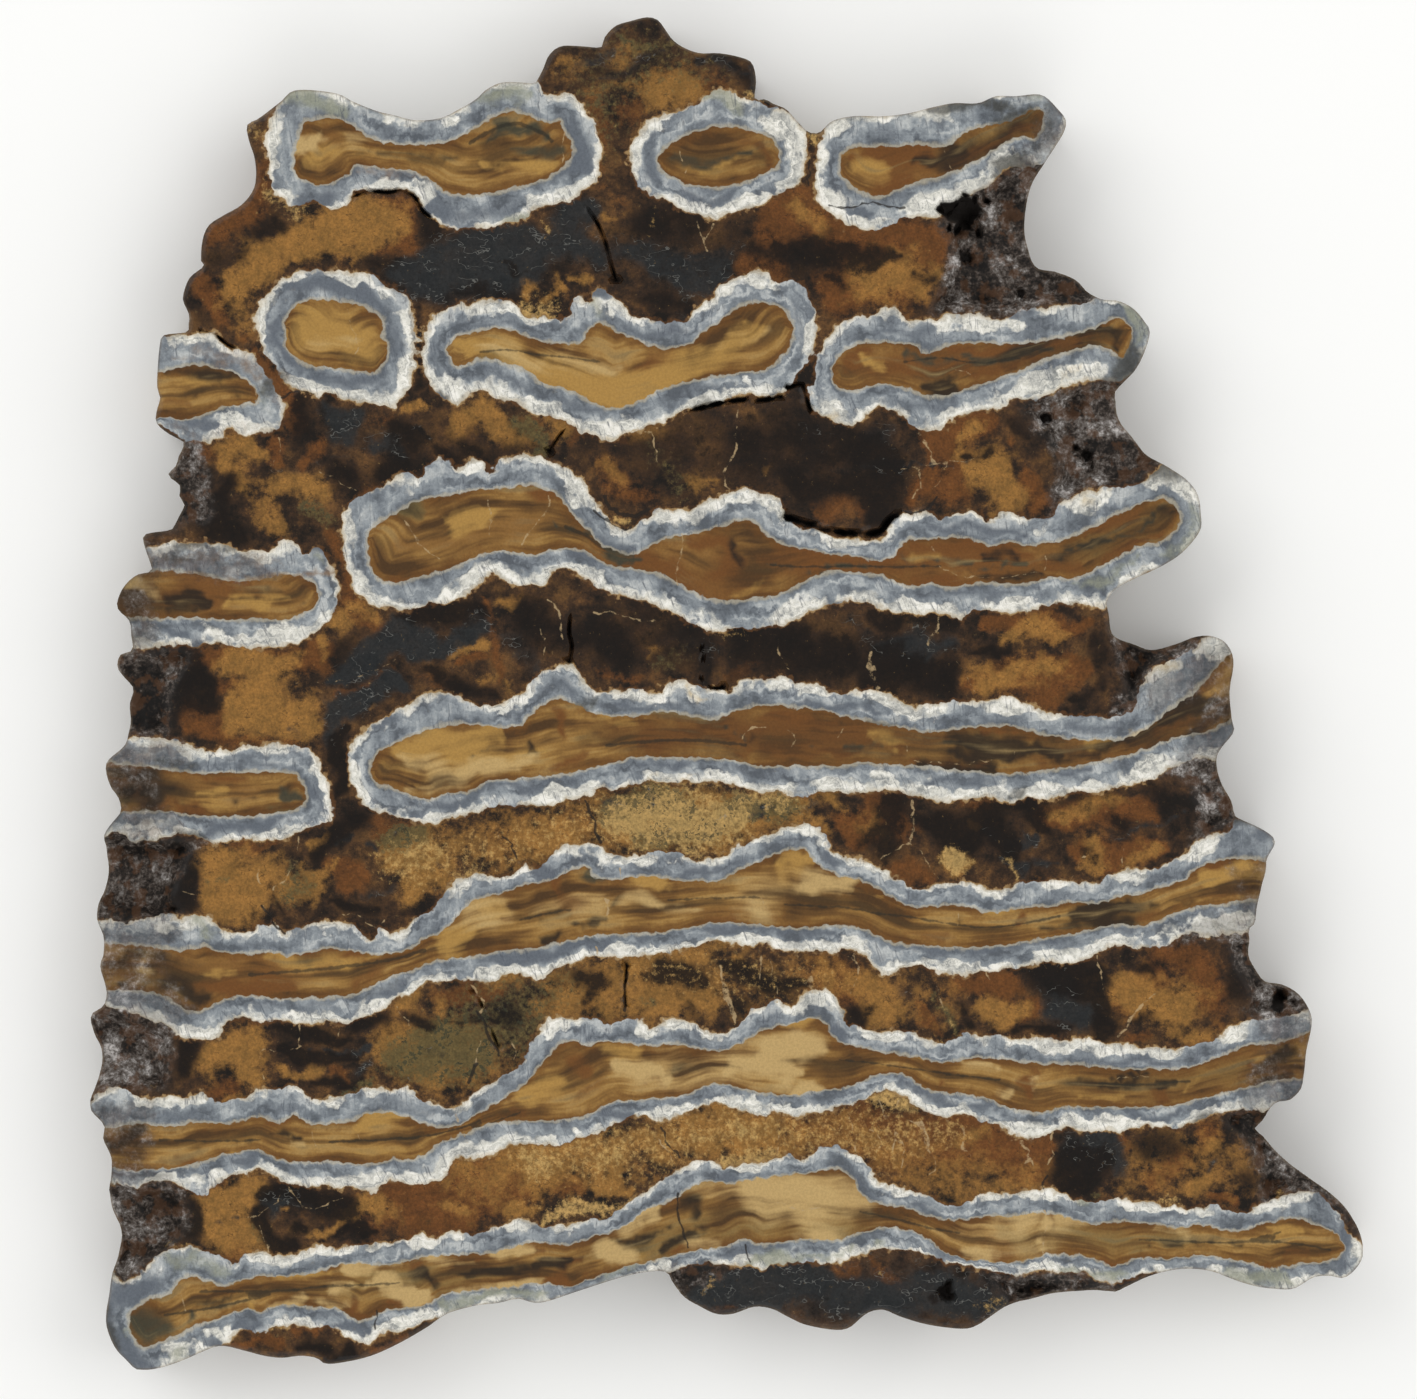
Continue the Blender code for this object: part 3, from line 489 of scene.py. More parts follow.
# Stains, by the part they lie in and their kind. A row has how strong they are, their half-width in plan
# units, and the ways of all the stains alike in both, with a / between two ways.
STAINS = {
    ("cement", "dark"): """
1 30 880,680 900,660 940,680
1 26 870,450 890,480 880,510 / 150,700 170,700 190,690 / 930,820 960,840 990,820 1010,850
1 24 1040,975 1065,980 1090,985 / 1080,1150 1070,1180 1100,1160
1 18 310,1200 340,1206 352,1215
1 16 185,880 188,862 / 725,965 745,975 770,985 800,985
1 15 265,1192 285,1186 300,1190 / 266,1216 270,1240 290,1240
1 14 1100,1000 1105,1030
1 12 985,1276 1040,1283 1100,1288
1 10 285,1055 320,1060 360,1055 / 680,1276 700,1272 722,1270
1 9 330,1360 352,1354
1 8 958,1276
1 6 937,1292 945,1298
.9 24 190,500 215,520 230,535 / 140,665 165,665 185,660 / 880,840 895,810
.9 20 190,660 200,690 205,700
.9 18 385,475 400,470
.9 16 400,615 450,610 490,615 / 1000,800 1030,805 1050,830 / 190,905 185,890 / 320,852 345,832 360,820 /
  186,1045 186,1070 / 650,978 680,970 700,982
.9 14 345,720 340,760 340,800 / 870,620 910,612 960,625 / 272,1035 300,1035 345,1035 / 195,1208 192,1232
.9 10 700,640 703,680
.9 9 330,903 360,905 385,917
.9 8 505,260 512,270 516,282 / 965,650 990,652 1008,652 / 300,1345 325,1346
.9 7 320,1238 350,1232 380,1232 / 300,1226
.9 6 305,1082 340,1085 370,1080
.9 5 980,1028 1030,1030 1080,1030 / 1040,965 1080,967
.8 20 790,480 840,490 880,490
.8 16 300,430 300,400 / 575,975 600,985 590,1000
.8 14 425,215 432,232 / 775,245 820,250 860,258 900,255 / 225,500 235,480 / 330,470 350,475 / 400,430
  420,440 / 420,670 470,690 500,700
.8 12 350,1020 385,1020 / 850,1010 862,1022
.8 10 440,455 460,470 480,460 / 740,1005
.8 9 1115,822 1128,826
.8 8 420,390 418,340 416,310 / 1075,700 1088,692 / 400,1008 420,1020 440,1025
.8 6 1055,714 1075,712 / 962,1003 974,1024
.8 5 965,450 985,452
.7 30 520,610 560,640 600,640 620,650
.7 26 760,650 800,650 840,660
.7 18 500,1010 515,1018 / 1238,990 1242,960
.7 14 645,295 680,305 690,315 / 180,465 200,470
.7 13 262,232 276,230
.7 12 440,300 480,292 520,300 540,310 / 1097,640 1102,660 1100,690
.7 10 1240,1120 1262,1115
.7 8 1135,970 1150,975 / 870,1112 890,1108
.7 7 1150,1015 1138,1025
.7 5 265,885 275,905 283,925 / 440,1020 470,1022 500,1020
.6 30 740,440 800,430 850,440 880,440
.6 20 1150,1142 1170,1150
.6 16 1150,790 1165,800
.6 14 370,262 390,262 / 1245,1180
.6 12 690,1012
.6 10 1015,420 1035,440
.6 9 915,276 932,284 / 1082,852 1096,862 / 1092,1288 1106,1294
.6 8 830,275 840,283 / 868,1008 / 875,1102
.6 7 400,915 422,908
.6 6 392,1236
.5 60 640,640 760,645 860,650
.5 40 1000,760 1100,790
.5 20 640,220 700,215
.5 12 350,640 335,660
.5 11 205,256 235,258 258,250
.5 10 750,250 790,262 / 390,1032 / 636,1126
.5 9 585,78 610,72 640,66 662,58
.5 8 545,268 580,268 / 455,440 480,450
.45 60 600,430 760,460 860,460
.4 50 620,230 760,260 860,260
.4 40 400,450 520,450 / 640,600 760,610
.4 10 190,300 200,320 215,326
.4 9 740,60 752,90
.4 8 690,62 745,66
""",
    ("cement", "slate"): """
1 34 420,285 470,275 520,262
1 30 400,272 440,262 480,250 520,240
1 26 630,250 670,262 700,270 720,265
1 24 700,1292 760,1297
1 22 1060,1010 1080,1015 / 740,1275 780,1282 820,1282
1 20 920,1282 960,1302 1000,1300
1 18 330,705 350,700 380,690 400,685 / 1045,975 1065,985
1 16 320,683 345,668 370,655 400,645 440,650 470,640
1 13 272,1200 285,1196 280,1210
.9 24 540,245 580,240 600,255 / 1080,1148 1110,1142 / 850,1295 900,1300
.9 18 380,640 400,625 430,640 / 885,645 910,640 945,640
.9 14 325,410 345,425 360,415 / 370,450 390,445 400,455 / 1102,1150 1115,1166
.9 9 705,822 712,832 725,820
.9 8 650,800 656,812 660,806
.9 7 612,803 625,808
.9 6 305,1052 340,1050 372,1048
.8 18 560,215 590,212 / 690,285 720,280
.8 16 490,285 520,285
.8 12 330,715 335,740 / 460,630 490,625
.8 8 765,810 772,806 / 985,835 1010,845 1040,840
.8 7 370,845 385,848
.8 6 750,822 762,824
.8 5 860,473 880,466 915,468 / 335,848 355,840
.7 16 870,435 885,440
.7 12 880,655 930,652
.7 9 365,1072 372,1062
.7 8 1000,862 1030,868 1050,862
.7 7 300,1206 330,1210
.7 6 660,835 670,835
.7 5 396,830 / 440,838
.7 4 860,472 900,468 940,463 975,456
.6 14 680,318 700,316
.6 10 700,62 730,65 750,72 / 330,440 350,440 / 1090,1172
.6 9 365,892 385,886 / 408,340 428,345
.6 8 690,250 715,246 745,250 / 905,995
.6 6 690,835
.6 5 645,838
.6 4 1100,841 1130,838 1150,822 1190,806 / 215,1220 250,1220 / 1200,1172 1225,1152
.55 10 570,70 600,62 612,50
.55 9 600,82 620,70 645,60 665,50
.5 60 740,1300 900,1300 980,1290
.5 18 810,430 830,425
.5 16 500,640 530,650 540,670 / 850,630 880,650
.5 14 830,470 870,472 900,470 / 690,640 720,650
.5 8 290,725 300,735 / 440,1055 430,1050 / 500,1008
.5 7 408,1078
.5 6 420,425 430,440 / 800,808 815,806
.5 5 438,865
.4 6 265,475 290,470 320,462 350,455
""",
    ("cement", "gold"): """
1 30 395,222 345,225 300,240 / 240,715 280,712 300,722
1 26 240,665 270,670 260,685
1 22 216,1200 240,1195 248,1186
1 14 985,1010 1005,1015 1020,1008
1 13 953,858 958,868
1 12 1182,1008
1 5 702,957 708,962
.95 24 300,245 262,262 238,285
.95 5 970,826 980,829
.9 30 220,865 245,890 255,870
.9 28 400,1045 430,1060 455,1035
.9 26 400,850 430,872 410,890 / 212,1060 240,1040 255,1070
.9 24 215,905 240,905
.9 22 870,990 880,1010 / 1120,985 1150,1000 1180,1010 / 220,1235 245,1236
.9 18 455,425 480,410 500,420
.9 14 352,1214 365,1205 380,1214 / 530,1155 548,1165 530,1176
.9 10 600,1160 620,1155 610,1175
.9 9 455,655 470,645 482,650 / 520,1200 510,1210 540,1210
.9 8 315,843 328,838
.9 7 525,283 532,298
.9 6 305,1235 330,1228 360,1222
.9 4 655,644 / 737,960 738,968
.85 26 990,480 1005,490 985,465
.85 5 568,280 588,277
.8 34 870,280 900,275
.8 20 270,490 300,485 320,490 / 985,685 1020,672 1060,670
.8 16 240,445 225,450 / 1005,640 1030,628 1070,630 / 326,618 340,618
.8 14 1060,812 1090,808 1120,800 / 1080,862 1100,870 1090,845 / 1190,1044 1206,1044
.8 10 320,645 325,655 / 288,1072 320,1070 / 640,1140 655,1150
.8 9 1190,1192 1200,1182 1220,1166
.8 7 395,415 420,402 430,408
.8 6 553,280 560,290 / 460,1162 470,1166
.8 3 270,1355 290,1357 310,1355 325,1358
.75 26 660,90 690,92
.75 15 655,98 690,86
.7 22 285,890 310,885
.7 16 290,660 / 550,420 560,425 / 640,430 655,428
.7 14 800,205 812,218 818,230 / 215,460 240,470 245,490 / 500,430 520,440 / 806,826 820,830 / 820,795
  834,796 / 498,976 512,974
.7 12 1130,862 1150,852 / 672,953 690,950 / 718,944 732,942 / 400,998 414,994
.7 10 700,993 712,1003 / 1215,1142 / 248,446 264,454
.7 9 228,1098 244,1104
.7 8 690,482 706,482 / 1170,1035 / 622,1190 600,1180
.7 7 398,1212
.7 6 300,865 320,870 345,862 / 570,1205
.7 5 602,214 612,222 616,215 / 768,474 770,472 / 515,602 500,608
.7 3 280,1214 300,1208
.6 34 620,830 680,825 740,825 800,800 / 700,1130 760,1135
.6 14 262,510 280,530 / 355,605 370,615 / 440,1005 / 540,1005 565,1010 / 640,965 660,960
.6 12 975,425 960,445
.6 10 965,678 975,668 990,665 / 360,1200 380,1200
.6 8 545,985 / 440,1205 465,1210
.6 6 352,262 354,256 / 505,682 515,690
.6 5 545,300 552,292
.6 4 800,1268 840,1264
.6 3 1085,1148 1095,1160
.55 50 420,840 520,845 600,825 800,805
.5 60 580,990 660,990
.5 50 500,1165 600,1150 740,1130 860,1130 / 470,1180 560,1160 / 880,1150 960,1180 1040,1185 / 400,1050
  480,1070
.5 24 520,830 570,845
.5 20 232,300 245,318
.5 18 870,820 880,835
.5 16 925,290 935,275 / 825,968
.5 12 608,470 618,478 / 1000,510 1010,495 / 980,1130 960,1140 / 556,62 580,70 / 615,58 640,50
.5 10 660,990
.5 8 645,650 660,645 640,662
.5 7 480,678 490,680
.5 5 380,705
.45 44 560,990 700,985 820,975 860,980
.4 60 1140,1165 1230,1160
.4 40 210,1225 250,1215
.4 14 590,95 640,80 / 740,1140 760,1130
.4 5 765,438 772,440
.35 40 880,1000 940,1000 / 1100,1000 1200,1000
""",
    ("cement", "rust"): """
1 34 880,1140 920,1140 980,1135 1020,1140
1 30 500,1150 480,1190 520,1185
1 26 1130,1000 1150,990
1 24 970,680 1010,675 1050,675 1085,665
1 22 935,440 960,430 985,420 / 1050,815 1100,810 1150,812 / 870,1110 882,1150
1 20 1070,850 1110,860 1160,850 / 960,982 990,985 1010,990 / 1000,1150 1020,1172
1 18 985,622 1020,625 1060,625 1090,625
1 14 560,1190 575,1185 / 1040,1140 1045,1185
1 8 1215,1195 1235,1200
.9 34 850,282 900,285
.9 30 830,235 880,235 930,240
.9 26 770,215 800,205 815,225 / 950,490 960,470 / 1200,970 1210,1000
.9 24 860,830 880,810 900,825
.9 20 830,285 845,300
.9 18 1150,1180 1180,1160
.9 16 745,268 775,272 / 195,655 225,660 / 900,868 925,875
.9 14 1020,1015 1032,1008
.9 12 910,500 925,480 925,450 / 345,885 360,880 / 592,1140 570,1150 / 1130,1145 1122,1130
.9 10 920,1010 930,1025
.9 9 252,345 262,370 275,388 290,398
.9 8 335,1072 347,1075 / 232,1342 255,1340 280,1342
.9 6 458,662 480,656
.9 5 690,1301 720,1309 742,1312
.8 30 820,975 850,985
.8 26 400,1200 430,1190 460,1180
.8 20 345,580 355,610 375,630 / 1210,1135
.8 18 385,205 405,215 408,240 / 930,260 940,240 / 190,725 220,728 230,738 / 420,1230 460,1222
.8 16 760,240 790,235 / 840,815 860,830 / 465,988 495,992
.8 14 290,405 295,425 / 1030,480 1040,500 / 820,1140 845,1130
.8 12 275,440 278,465 / 210,650 300,650 / 300,668 312,650 / 318,665 330,650 / 220,1251 240,1253
.8 10 330,866 345,870 / 372,1345 400,1340 / 836,1270 852,1270
.8 9 872,1262 890,1276 900,1288
.8 8 240,742 300,742 / 955,806 990,806 / 1150,1042 1120,1040
.8 5 292,1333 330,1333
.75 24 215,235 235,220 258,200 262,170
.7 36 640,1135 740,1130 860,1125
.7 30 500,840 550,835 590,830
.7 18 200,285 215,300 222,320 / 1190,950 1160,955
.7 16 592,95 600,160
.7 14 195,445 210,450 / 215,690 280,690 / 378,826 400,826 / 440,1000 462,990
.7 12 330,535 345,550 / 1040,700 1060,695
.7 10 300,462 320,445 / 500,690 490,600 / 215,1183
.7 9 242,335
.7 8 205,845 240,845 280,842
.7 7 380,1060 390,1065
.7 5 330,692 360,682 390,672
.6 18 610,475 630,490
.6 16 820,510 840,508 855,505
.6 14 215,1090 240,1090
.6 12 380,245 400,250 / 555,985 600,1010
.6 10 1010,445 / 185,705 215,712 / 250,1020 / 640,1018
.6 8 360,492 375,488 / 610,440 640,432 / 340,545 345,575 / 595,670 640,680
.5 60 480,1180 380,1205
.5 50 860,1140 1000,1140
.5 40 900,760 960,740
.5 14 620,120 640,110 / 640,75 730,85
.5 10 575,435 590,430 / 530,425 545,430 / 800,1320
.5 8 370,425 390,420 / 640,492 655,495 / 420,682 450,690 / 730,675 760,665
.4 10 700,85 730,95
.35 12 600,185 620,200
""",
    ("cement", "olive"): """
1 26 618,812 650,805 680,808
1 24 705,828 722,818 735,808
1 22 750,812 770,808 785,800
.8 28 450,1045 470,1060
.8 26 400,1060 440,1040
.8 20 395,835 415,838
.8 16 640,838 665,840 690,836
.8 14 520,425 540,440 535,455
.8 7 340,1090 380,1085
.8 5 1080,1196 1100,1194
.7 8 938,995 948,1012 960,1030
.6 20 288,895 300,880
.6 14 310,510 330,520
.6 10 648,1000
.6 9 256,1236
.5 40 440,1060 520,1030
.5 16 660,665 680,655
.5 10 620,40 665,45
.5 5 210,878 240,878
.4 50 470,1000 560,985
.4 16 650,445 670,470 685,490
.35 60 600,75 690,70
.3 26 600,110 605,150
""",
    ("cement", "pale"): """
.9 12 953,858 958,868
.9 7 1045,427 1055,432
.9 3 883,1270
.8 3 758,955 760,972
.7 34 630,822 680,820 730,825
.7 22 530,316 545,318
.7 14 540,1227 575,1210 615,1212 640,1195
.7 12 860,1100 915,1100 / 724,1166 780,1158
.7 9 806,132 815,137 / 1272,1192 1284,1200
.7 8 612,524 624,530
.6 12 936,1042 950,1044
.6 10 1166,1206 1180,1206
.6 9 136,1040 150,1086 / 172,1242 186,1252
.6 8 752,96 760,100 / 888,1184 900,1190
.6 6 1005,860 1012,870
.5 20 275,200 300,204
.5 16 740,795 800,790
.5 14 690,857 706,860
.5 12 460,880 474,874 / 268,1328 284,1326
.5 6 715,632 745,632 755,630
.5 5 697,1138 705,1138 / 700,1286 712,1282
.45 30 420,870 400,860
.4 44 520,1160 620,1150 740,1130 / 740,1125 860,1140 960,1130
.4 12 530,1155 548,1165 530,1176
.4 10 1000,1298 985,1306 / 245,120 252,130
.4 5 940,1000 952,1018 962,1030
.4 4 540,215 548,235
.35 40 420,850 500,850 620,815 800,805
.35 5 655,208 650,225 648,242
.3 9 602,1160 620,1156
.3 8 520,1200 540,1208
.25 40 640,970 760,980 840,975
""",
    ("enamel", "dark"): """
1 16 1145,470 1170,468
1 14 1000,122 1025,118
1 13 996,172 1020,165
.9 16 1100,384 1130,372
.9 12 930,106 970,102 1005,98 / 180,837 200,836
.9 10 180,543 205,541
.9 6 1250,915
.9 5 1010,794 1018,793
.8 12 1136,352 1142,370 / 1228,822 1246,820
.8 9 574,708 590,706 / 1196,1120 1214,1118
.7 12 262,388 276,384
.7 10 106,1310 112,1345
.7 9 870,724 890,724
.7 8 222,546 238,546
.7 6 165,555 200,562
.7 5 840,1010 843,1020
.7 4 435,388 450,396 458,392
.6 10 1045,115 1050,135 1035,150 / 140,640 150,625 / 108,1285 114,1278
.6 8 695,407 712,405
.6 6 150,765 200,768
.5 10 1130,330 1140,350 1125,370
.5 8 900,115 950,108 1000,100 1040,98 / 135,818 160,822 / 600,553 630,556
.5 3 350,997 370,990 395,980
.2 12 140,640 220,648 320,640
""",
    ("enamel", "slate"): """
1 14 107,1300 106,1330 125,1365 145,1372
1 12 555,170 572,162 / 574,550 600,552 635,554
1 10 425,215 440,220
1 9 715,1179 740,1176
.9 12 285,290 320,283 355,290 385,310 / 120,1296 140,1290 / 125,1342 140,1356 / 1345,1266 / 308,203 326,202
  / 292,362 308,358
.9 10 1342,1225 1352,1248 / 590,290 604,290 / 352,585 362,598 / 820,606 840,606
.9 9 310,552 326,550 / 206,1348 222,1346
.9 8 845,210 875,212 / 165,630 190,632 / 215,825 250,830 290,820 / 405,810 430,808 460,800 490,795 /
  700,930 740,928 760,928 790,932 840,932 / 830,1030 842,1040 / 600,1110 630,1108 / 340,1330 360,1336
  370,1326 / 195,645 210,645 / 752,396 770,394 / 768,188 780,192
.9 7 1010,315 1028,310 / 470,965 500,958 540,955 580,945 620,938 660,933 / 514,1083 520,1078 / 870,935
  900,945 960,948 1000,945 1040,940 1070,935 / 235,1158 255,1155 / 230,1325 250,1318 272,1322
.9 6 530,875 545,870 / 880,728 920,731 950,725 / 820,857 840,862 / 1120,1112 1160,1115 1200,1108 / 690,1172
  / 860,1183 870,1196
.9 5 308,775 312,800 / 760,705 800,707 850,710 880,712 / 625,762 680,762 730,765
.8 14 575,125 585,150 583,165
.8 10 180,420 205,415 225,420 / 276,315 275,340 290,362 / 300,375 330,382 360,385 390,375 / 1260,1035
  1285,1030 / 1262,834 1276,834
.8 8 680,195 710,198 740,195 / 205,830 235,830 / 540,880 555,875 / 715,1256 740,1250 760,1251 800,1250 /
  436,398 452,398
.8 7 920,530 960,530 1000,535 1030,535 / 370,735 400,720 / 1080,1059 1120,1062 1170,1060 / 150,1365 /
  1240,1219 1262,1222
.8 6 980,722 1010,722 1040,729 / 930,780 960,778 1000,782 / 1050,775 1090,772 / 365,998 400,983 430,972 /
  688,872 / 880,1202 920,1211 950,1216
.8 5 600,703 640,706 690,712 / 490,785 540,790 600,770 / 620,872 680,875 720,870 / 982,1045 / 900,1085
  940,1095 990,1105 1010,1115 / 525,1292 530,1285 / 1140,1219 1180,1226 / 1185,1256 1200,1255
.7 16 150,1287
.7 10 655,130 648,150 650,170 665,185
.7 9 1060,725 1090,730 1120,727
.7 8 920,330 935,322 / 545,690 560,680 580,695
.7 7 395,320 396,350 / 600,315 640,332 680,335 705,325 / 890,900 920,902 / 150,1112 190,1118 215,1120 /
  720,872 760,850 / 1110,935 1150,930
.7 6 470,368 510,378 550,395 600,412 640,402 / 870,335 900,333 930,345 / 900,590 940,595 1000,590 1040,590
  / 1150,645 1190,642 / 430,1152 450,1146 / 1070,1216
.7 5 780,845 810,842 / 1150,1266
.6 12 430,205 450,212 480,212 520,206
.6 9 1200,1052
.6 8 870,400 900,400 930,410 960,405 / 1170,878 1240,855 / 1180,685 1210,672
.6 7 930,1251 960,1262
.6 6 440,335 470,325 510,322 560,330 / 660,405 700,392 750,382 / 190,565 230,565 270,565 / 210,762 260,765
  290,765 / 130,1180 / 300,1170 / 1000,1208
.6 5 140,760 190,762 / 620,1030 / 1190,912 1230,905 / 870,1043 910,1051 / 765,1173
.5 10 432,345 430,365
.5 8 660,120 690,112 / 205,345 225,350 / 790,300 800,320 800,345 / 290,935 / 430,905 445,895 / 330,1115
  380,1108 440,1112 / 880,965 / 580,1236
.5 7 300,1010 340,1008 / 760,1022 780,1018 / 720,1097 700,1100 / 790,1102 850,1095 / 860,1236 880,1233
.5 6 220,945 280,948
.5 5 290,1266 340,1260 / 465,1235
""",
    ("enamel", "gold"): """
.6 9 818,417 834,417
.6 6 685,690 700,700
.5 10 1085,500 1095,505
.5 9 1134,733 1146,731 / 1156,664 1170,662
.5 5 600,440 630,432
.4 8 1060,378 1080,362
.4 5 650,778 700,778
""",
    ("enamel", "rust"): """
.7 5 160,576 200,580 250,580 300,575 330,577
.5 8 350,170 380,168 400,172 430,182
.5 6 215,360 245,368 258,380
.4 13 168,355 230,350 280,385 285,420 / 125,560 200,558 280,560
.35 12 165,425 210,432 260,425
.35 11 110,755 180,752 / 110,830 200,836
""",
    ("enamel", "olive"): """
.9 14 290,100 320,104 350,108
.8 13 700,98 725,95 735,105
.8 12 480,100 510,95 540,95 / 1220,1273 1260,1280 1290,1281
.8 10 508,221 526,221
.8 9 905,706 920,706
.8 8 460,1298 520,1293 560,1296 / 1060,1272 1100,1277 1130,1276
.8 7 740,1263 780,1263 820,1259 850,1253 / 880,1246
.8 5 1080,1201 1100,1199
.8 4 985,886 1000,889
.7 10 1120,300 1140,320 1145,345 / 195,925 210,932 / 180,1356
.7 9 440,1300 480,1296
.7 8 600,1277 640,1266
.6 14 170,1256 200,1264 230,1277
.6 12 1190,500 1200,520 1190,545 1160,555
.6 9 1080,585 1110,570 1140,560 / 825,607 838,607
.6 8 590,300 600,310
.6 7 310,560 320,565
.5 12 290,90 305,90
.5 8 1030,98 1045,105 / 262,390 268,410 / 130,1330
""",
    ("enamel", "pale"): """
1 14 1270,1206 1298,1200 1310,1211 / 505,84 528,84 / 286,92 308,90
1 12 1224,655 1236,655
1 11 1020,1045 1050,1050 1080,1045 / 1156,664 1170,662
1 10 480,385 520,405 560,418 600,432 640,428 / 700,945 740,945 780,948 830,950 850,950 / 1000,1125
  1030,1134 1050,1127 / 1030,1196 1052,1200 / 345,102 360,102 / 770,134 782,134 / 536,397 552,398 / 566,494
  578,502
1 9 665,690 680,688 695,695 / 1000,702 1020,708 / 1208,652 1220,655 / 1040,955 1070,955 / 1070,1125
  1100,1120 1130,1125 1170,1122 / 415,1243 430,1240 / 892,309 906,309 / 818,417 850,397 / 464,463 478,462 /
  976,518 992,518
1 8 900,965 940,970 975,970 1010,965 / 300,1186 330,1186 350,1190 380,1196 / 1180,1213 1200,1211 1220,1216
  / 936,616 952,616 / 1168,1207 1182,1207
1 7 770,685 782,680 / 870,1032 900,1035 920,1038
1 6 605,860 640,858 690,860 / 910,1100 950,1108 990,1115
1 3 465,1138 462,1150
.9 12 715,290 745,280 775,285 / 1080,500 1105,500
.9 10 1000,395 1040,385 1080,365 / 895,712 910,714
.9 9 335,275 365,285 390,300 408,320 / 505,462 530,458 555,468 580,485 595,505 / 960,320 1000,325 1030,330
  1060,322 / 905,518 930,512 / 245,555 262,555 / 925,708 950,710 980,710 / 915,790 940,790 / 1185,850
  1210,842 / 170,1028 200,1034 215,1030 / 1198,732 1212,732
.9 8 700,210 730,210 760,200 / 265,300 258,325 262,345 / 960,322 1000,325 1020,330 / 880,605 920,610
  960,615 / 740,690 752,684 / 870,690 885,700 / 1045,715 1060,713 / 990,795 1010,800 1030,795 1060,792
  1100,786 / 1120,872 1140,868 / 243,928 256,925 / 245,1100 262,1098 / 470,975 520,972 560,965 600,955
  650,950 / 745,1015 760,1010 / 980,1040 1010,1045 / 200,1176 222,1172 / 400,1182 430,1180 445,1166
  470,1155 / 320,1248 345,1250 / 835,1150 860,1162 870,1175 / 1325,1222 1338,1240
.9 7 800,690 820,695 830,700 / 750,785 800,788 850,785 / 615,860 650,858 680,860 / 192,1098 202,1098 /
  1120,1048 1150,1050 1180,1048 / 270,1172 290,1178 / 245,1258 260,1256 / 690,1259 705,1255
.9 6 820,200 845,222 875,225 900,215 / 600,692 620,690 645,690 / 930,885 960,882 / 527,866 / 640,1025
  650,1029 / 1100,945 1130,940 1160,938 / 275,1258 300,1256 / 455,1238 / 680,1166 702,1162 / 1115,1204
  1150,1208
.9 5 480,1145 540,1142 580,1135 / 885,1188 920,1196 / 980,1198 1000,1197 / 1035,1266
.8 14 760,120 785,118 800,135
.8 12 372,125 400,132 430,132 455,126 / 268,125 272,150 275,170 / 540,200 560,195 585,180
.8 8 950,515 970,510 985,518 / 1000,515 1012,512 1020,520 / 485,708 500,715
.8 7 225,428 250,432 275,425 / 290,385 315,394 340,395 / 445,312 480,306 520,308 550,318 570,315 / 428,330
  424,355 430,380 / 885,315 / 1000,600 1040,600 / 215,642 250,645 290,642 310,630 325,615 / 315,765 325,790
  322,815 / 520,800 560,795 600,785 / 555,848 / 960,792 975,795 / 1200,925 1222,930 / 1230,1035 1245,1028
.8 6 568,668 / 490,872 520,865 / 600,845 / 775,835 800,828 820,835 / 330,1020 360,1012 385,1003 410,993 /
  470,880 490,876 520,875 / 560,845 / 540,1022 570,1018 / 665,1024 685,1024 / 800,1000 820,992 / 860,1030
  875,1036
.8 5 1040,882 1060,880 / 600,1128 640,1118 700,1110 / 740,1112 770,1118 / 300,1326 320,1326 / 380,1326
.8 4 578,938 592,936 / 920,955 960,958 1000,955
.7 10 485,90 530,88 / 790,150 795,170 780,185
.7 9 165,1346 180,1346
.7 8 690,405 730,398 760,390 790,375 / 135,745 165,748 185,755 / 120,825 160,820 190,828 / 480,1095
  500,1085
.7 7 411,340 408,370 400,385 / 280,545 290,545 / 255,833 290,828 310,822
.7 6 175,642 190,644 / 230,752 270,748 300,752 / 352,760 355,785 370,805 / 270,922 285,930 / 380,932
  395,930 / 290,1095 310,1095 / 780,1004 / 1190,1118 / 200,1331 220,1336 / 680,1186
.7 5 870,775 900,775 / 320,1108 350,1098 390,1095 / 850,1110 / 1290,1015 1300,1012 / 130,1170 160,1170
  190,1167 / 730,1166 780,1158 / 900,1256 930,1263 980,1273 1010,1276
.7 4 300,930 320,922 345,925 360,935
.6 10 822,150 822,180 / 915,205 945,205
.6 9 640,125 632,150 636,172 / 640,525 660,515 690,512 720,502 750,498 775,510 780,520 / 1130,495 1160,480
  1180,490
.6 8 830,130 870,122 920,125 960,125 / 345,398 380,402 / 1140,680 1160,668 1180,658 / 130,1100 160,1105
.6 6 610,300 635,318 660,322 / 160,935 185,935 / 240,1010 270,1018 / 370,1246
.6 5 400,818 430,824 460,816 / 530,690 545,685 / 114,1310 108,1322
.6 4 165,1247 185,1244 / 122,1332 130,1350
.5 12 300,98 340,104
.5 10 160,350 175,345
.5 9 400,1318 430,1310
.5 6 600,1020
.5 5 1250,1266
.5 3 600,943 640,938 680,936
""",
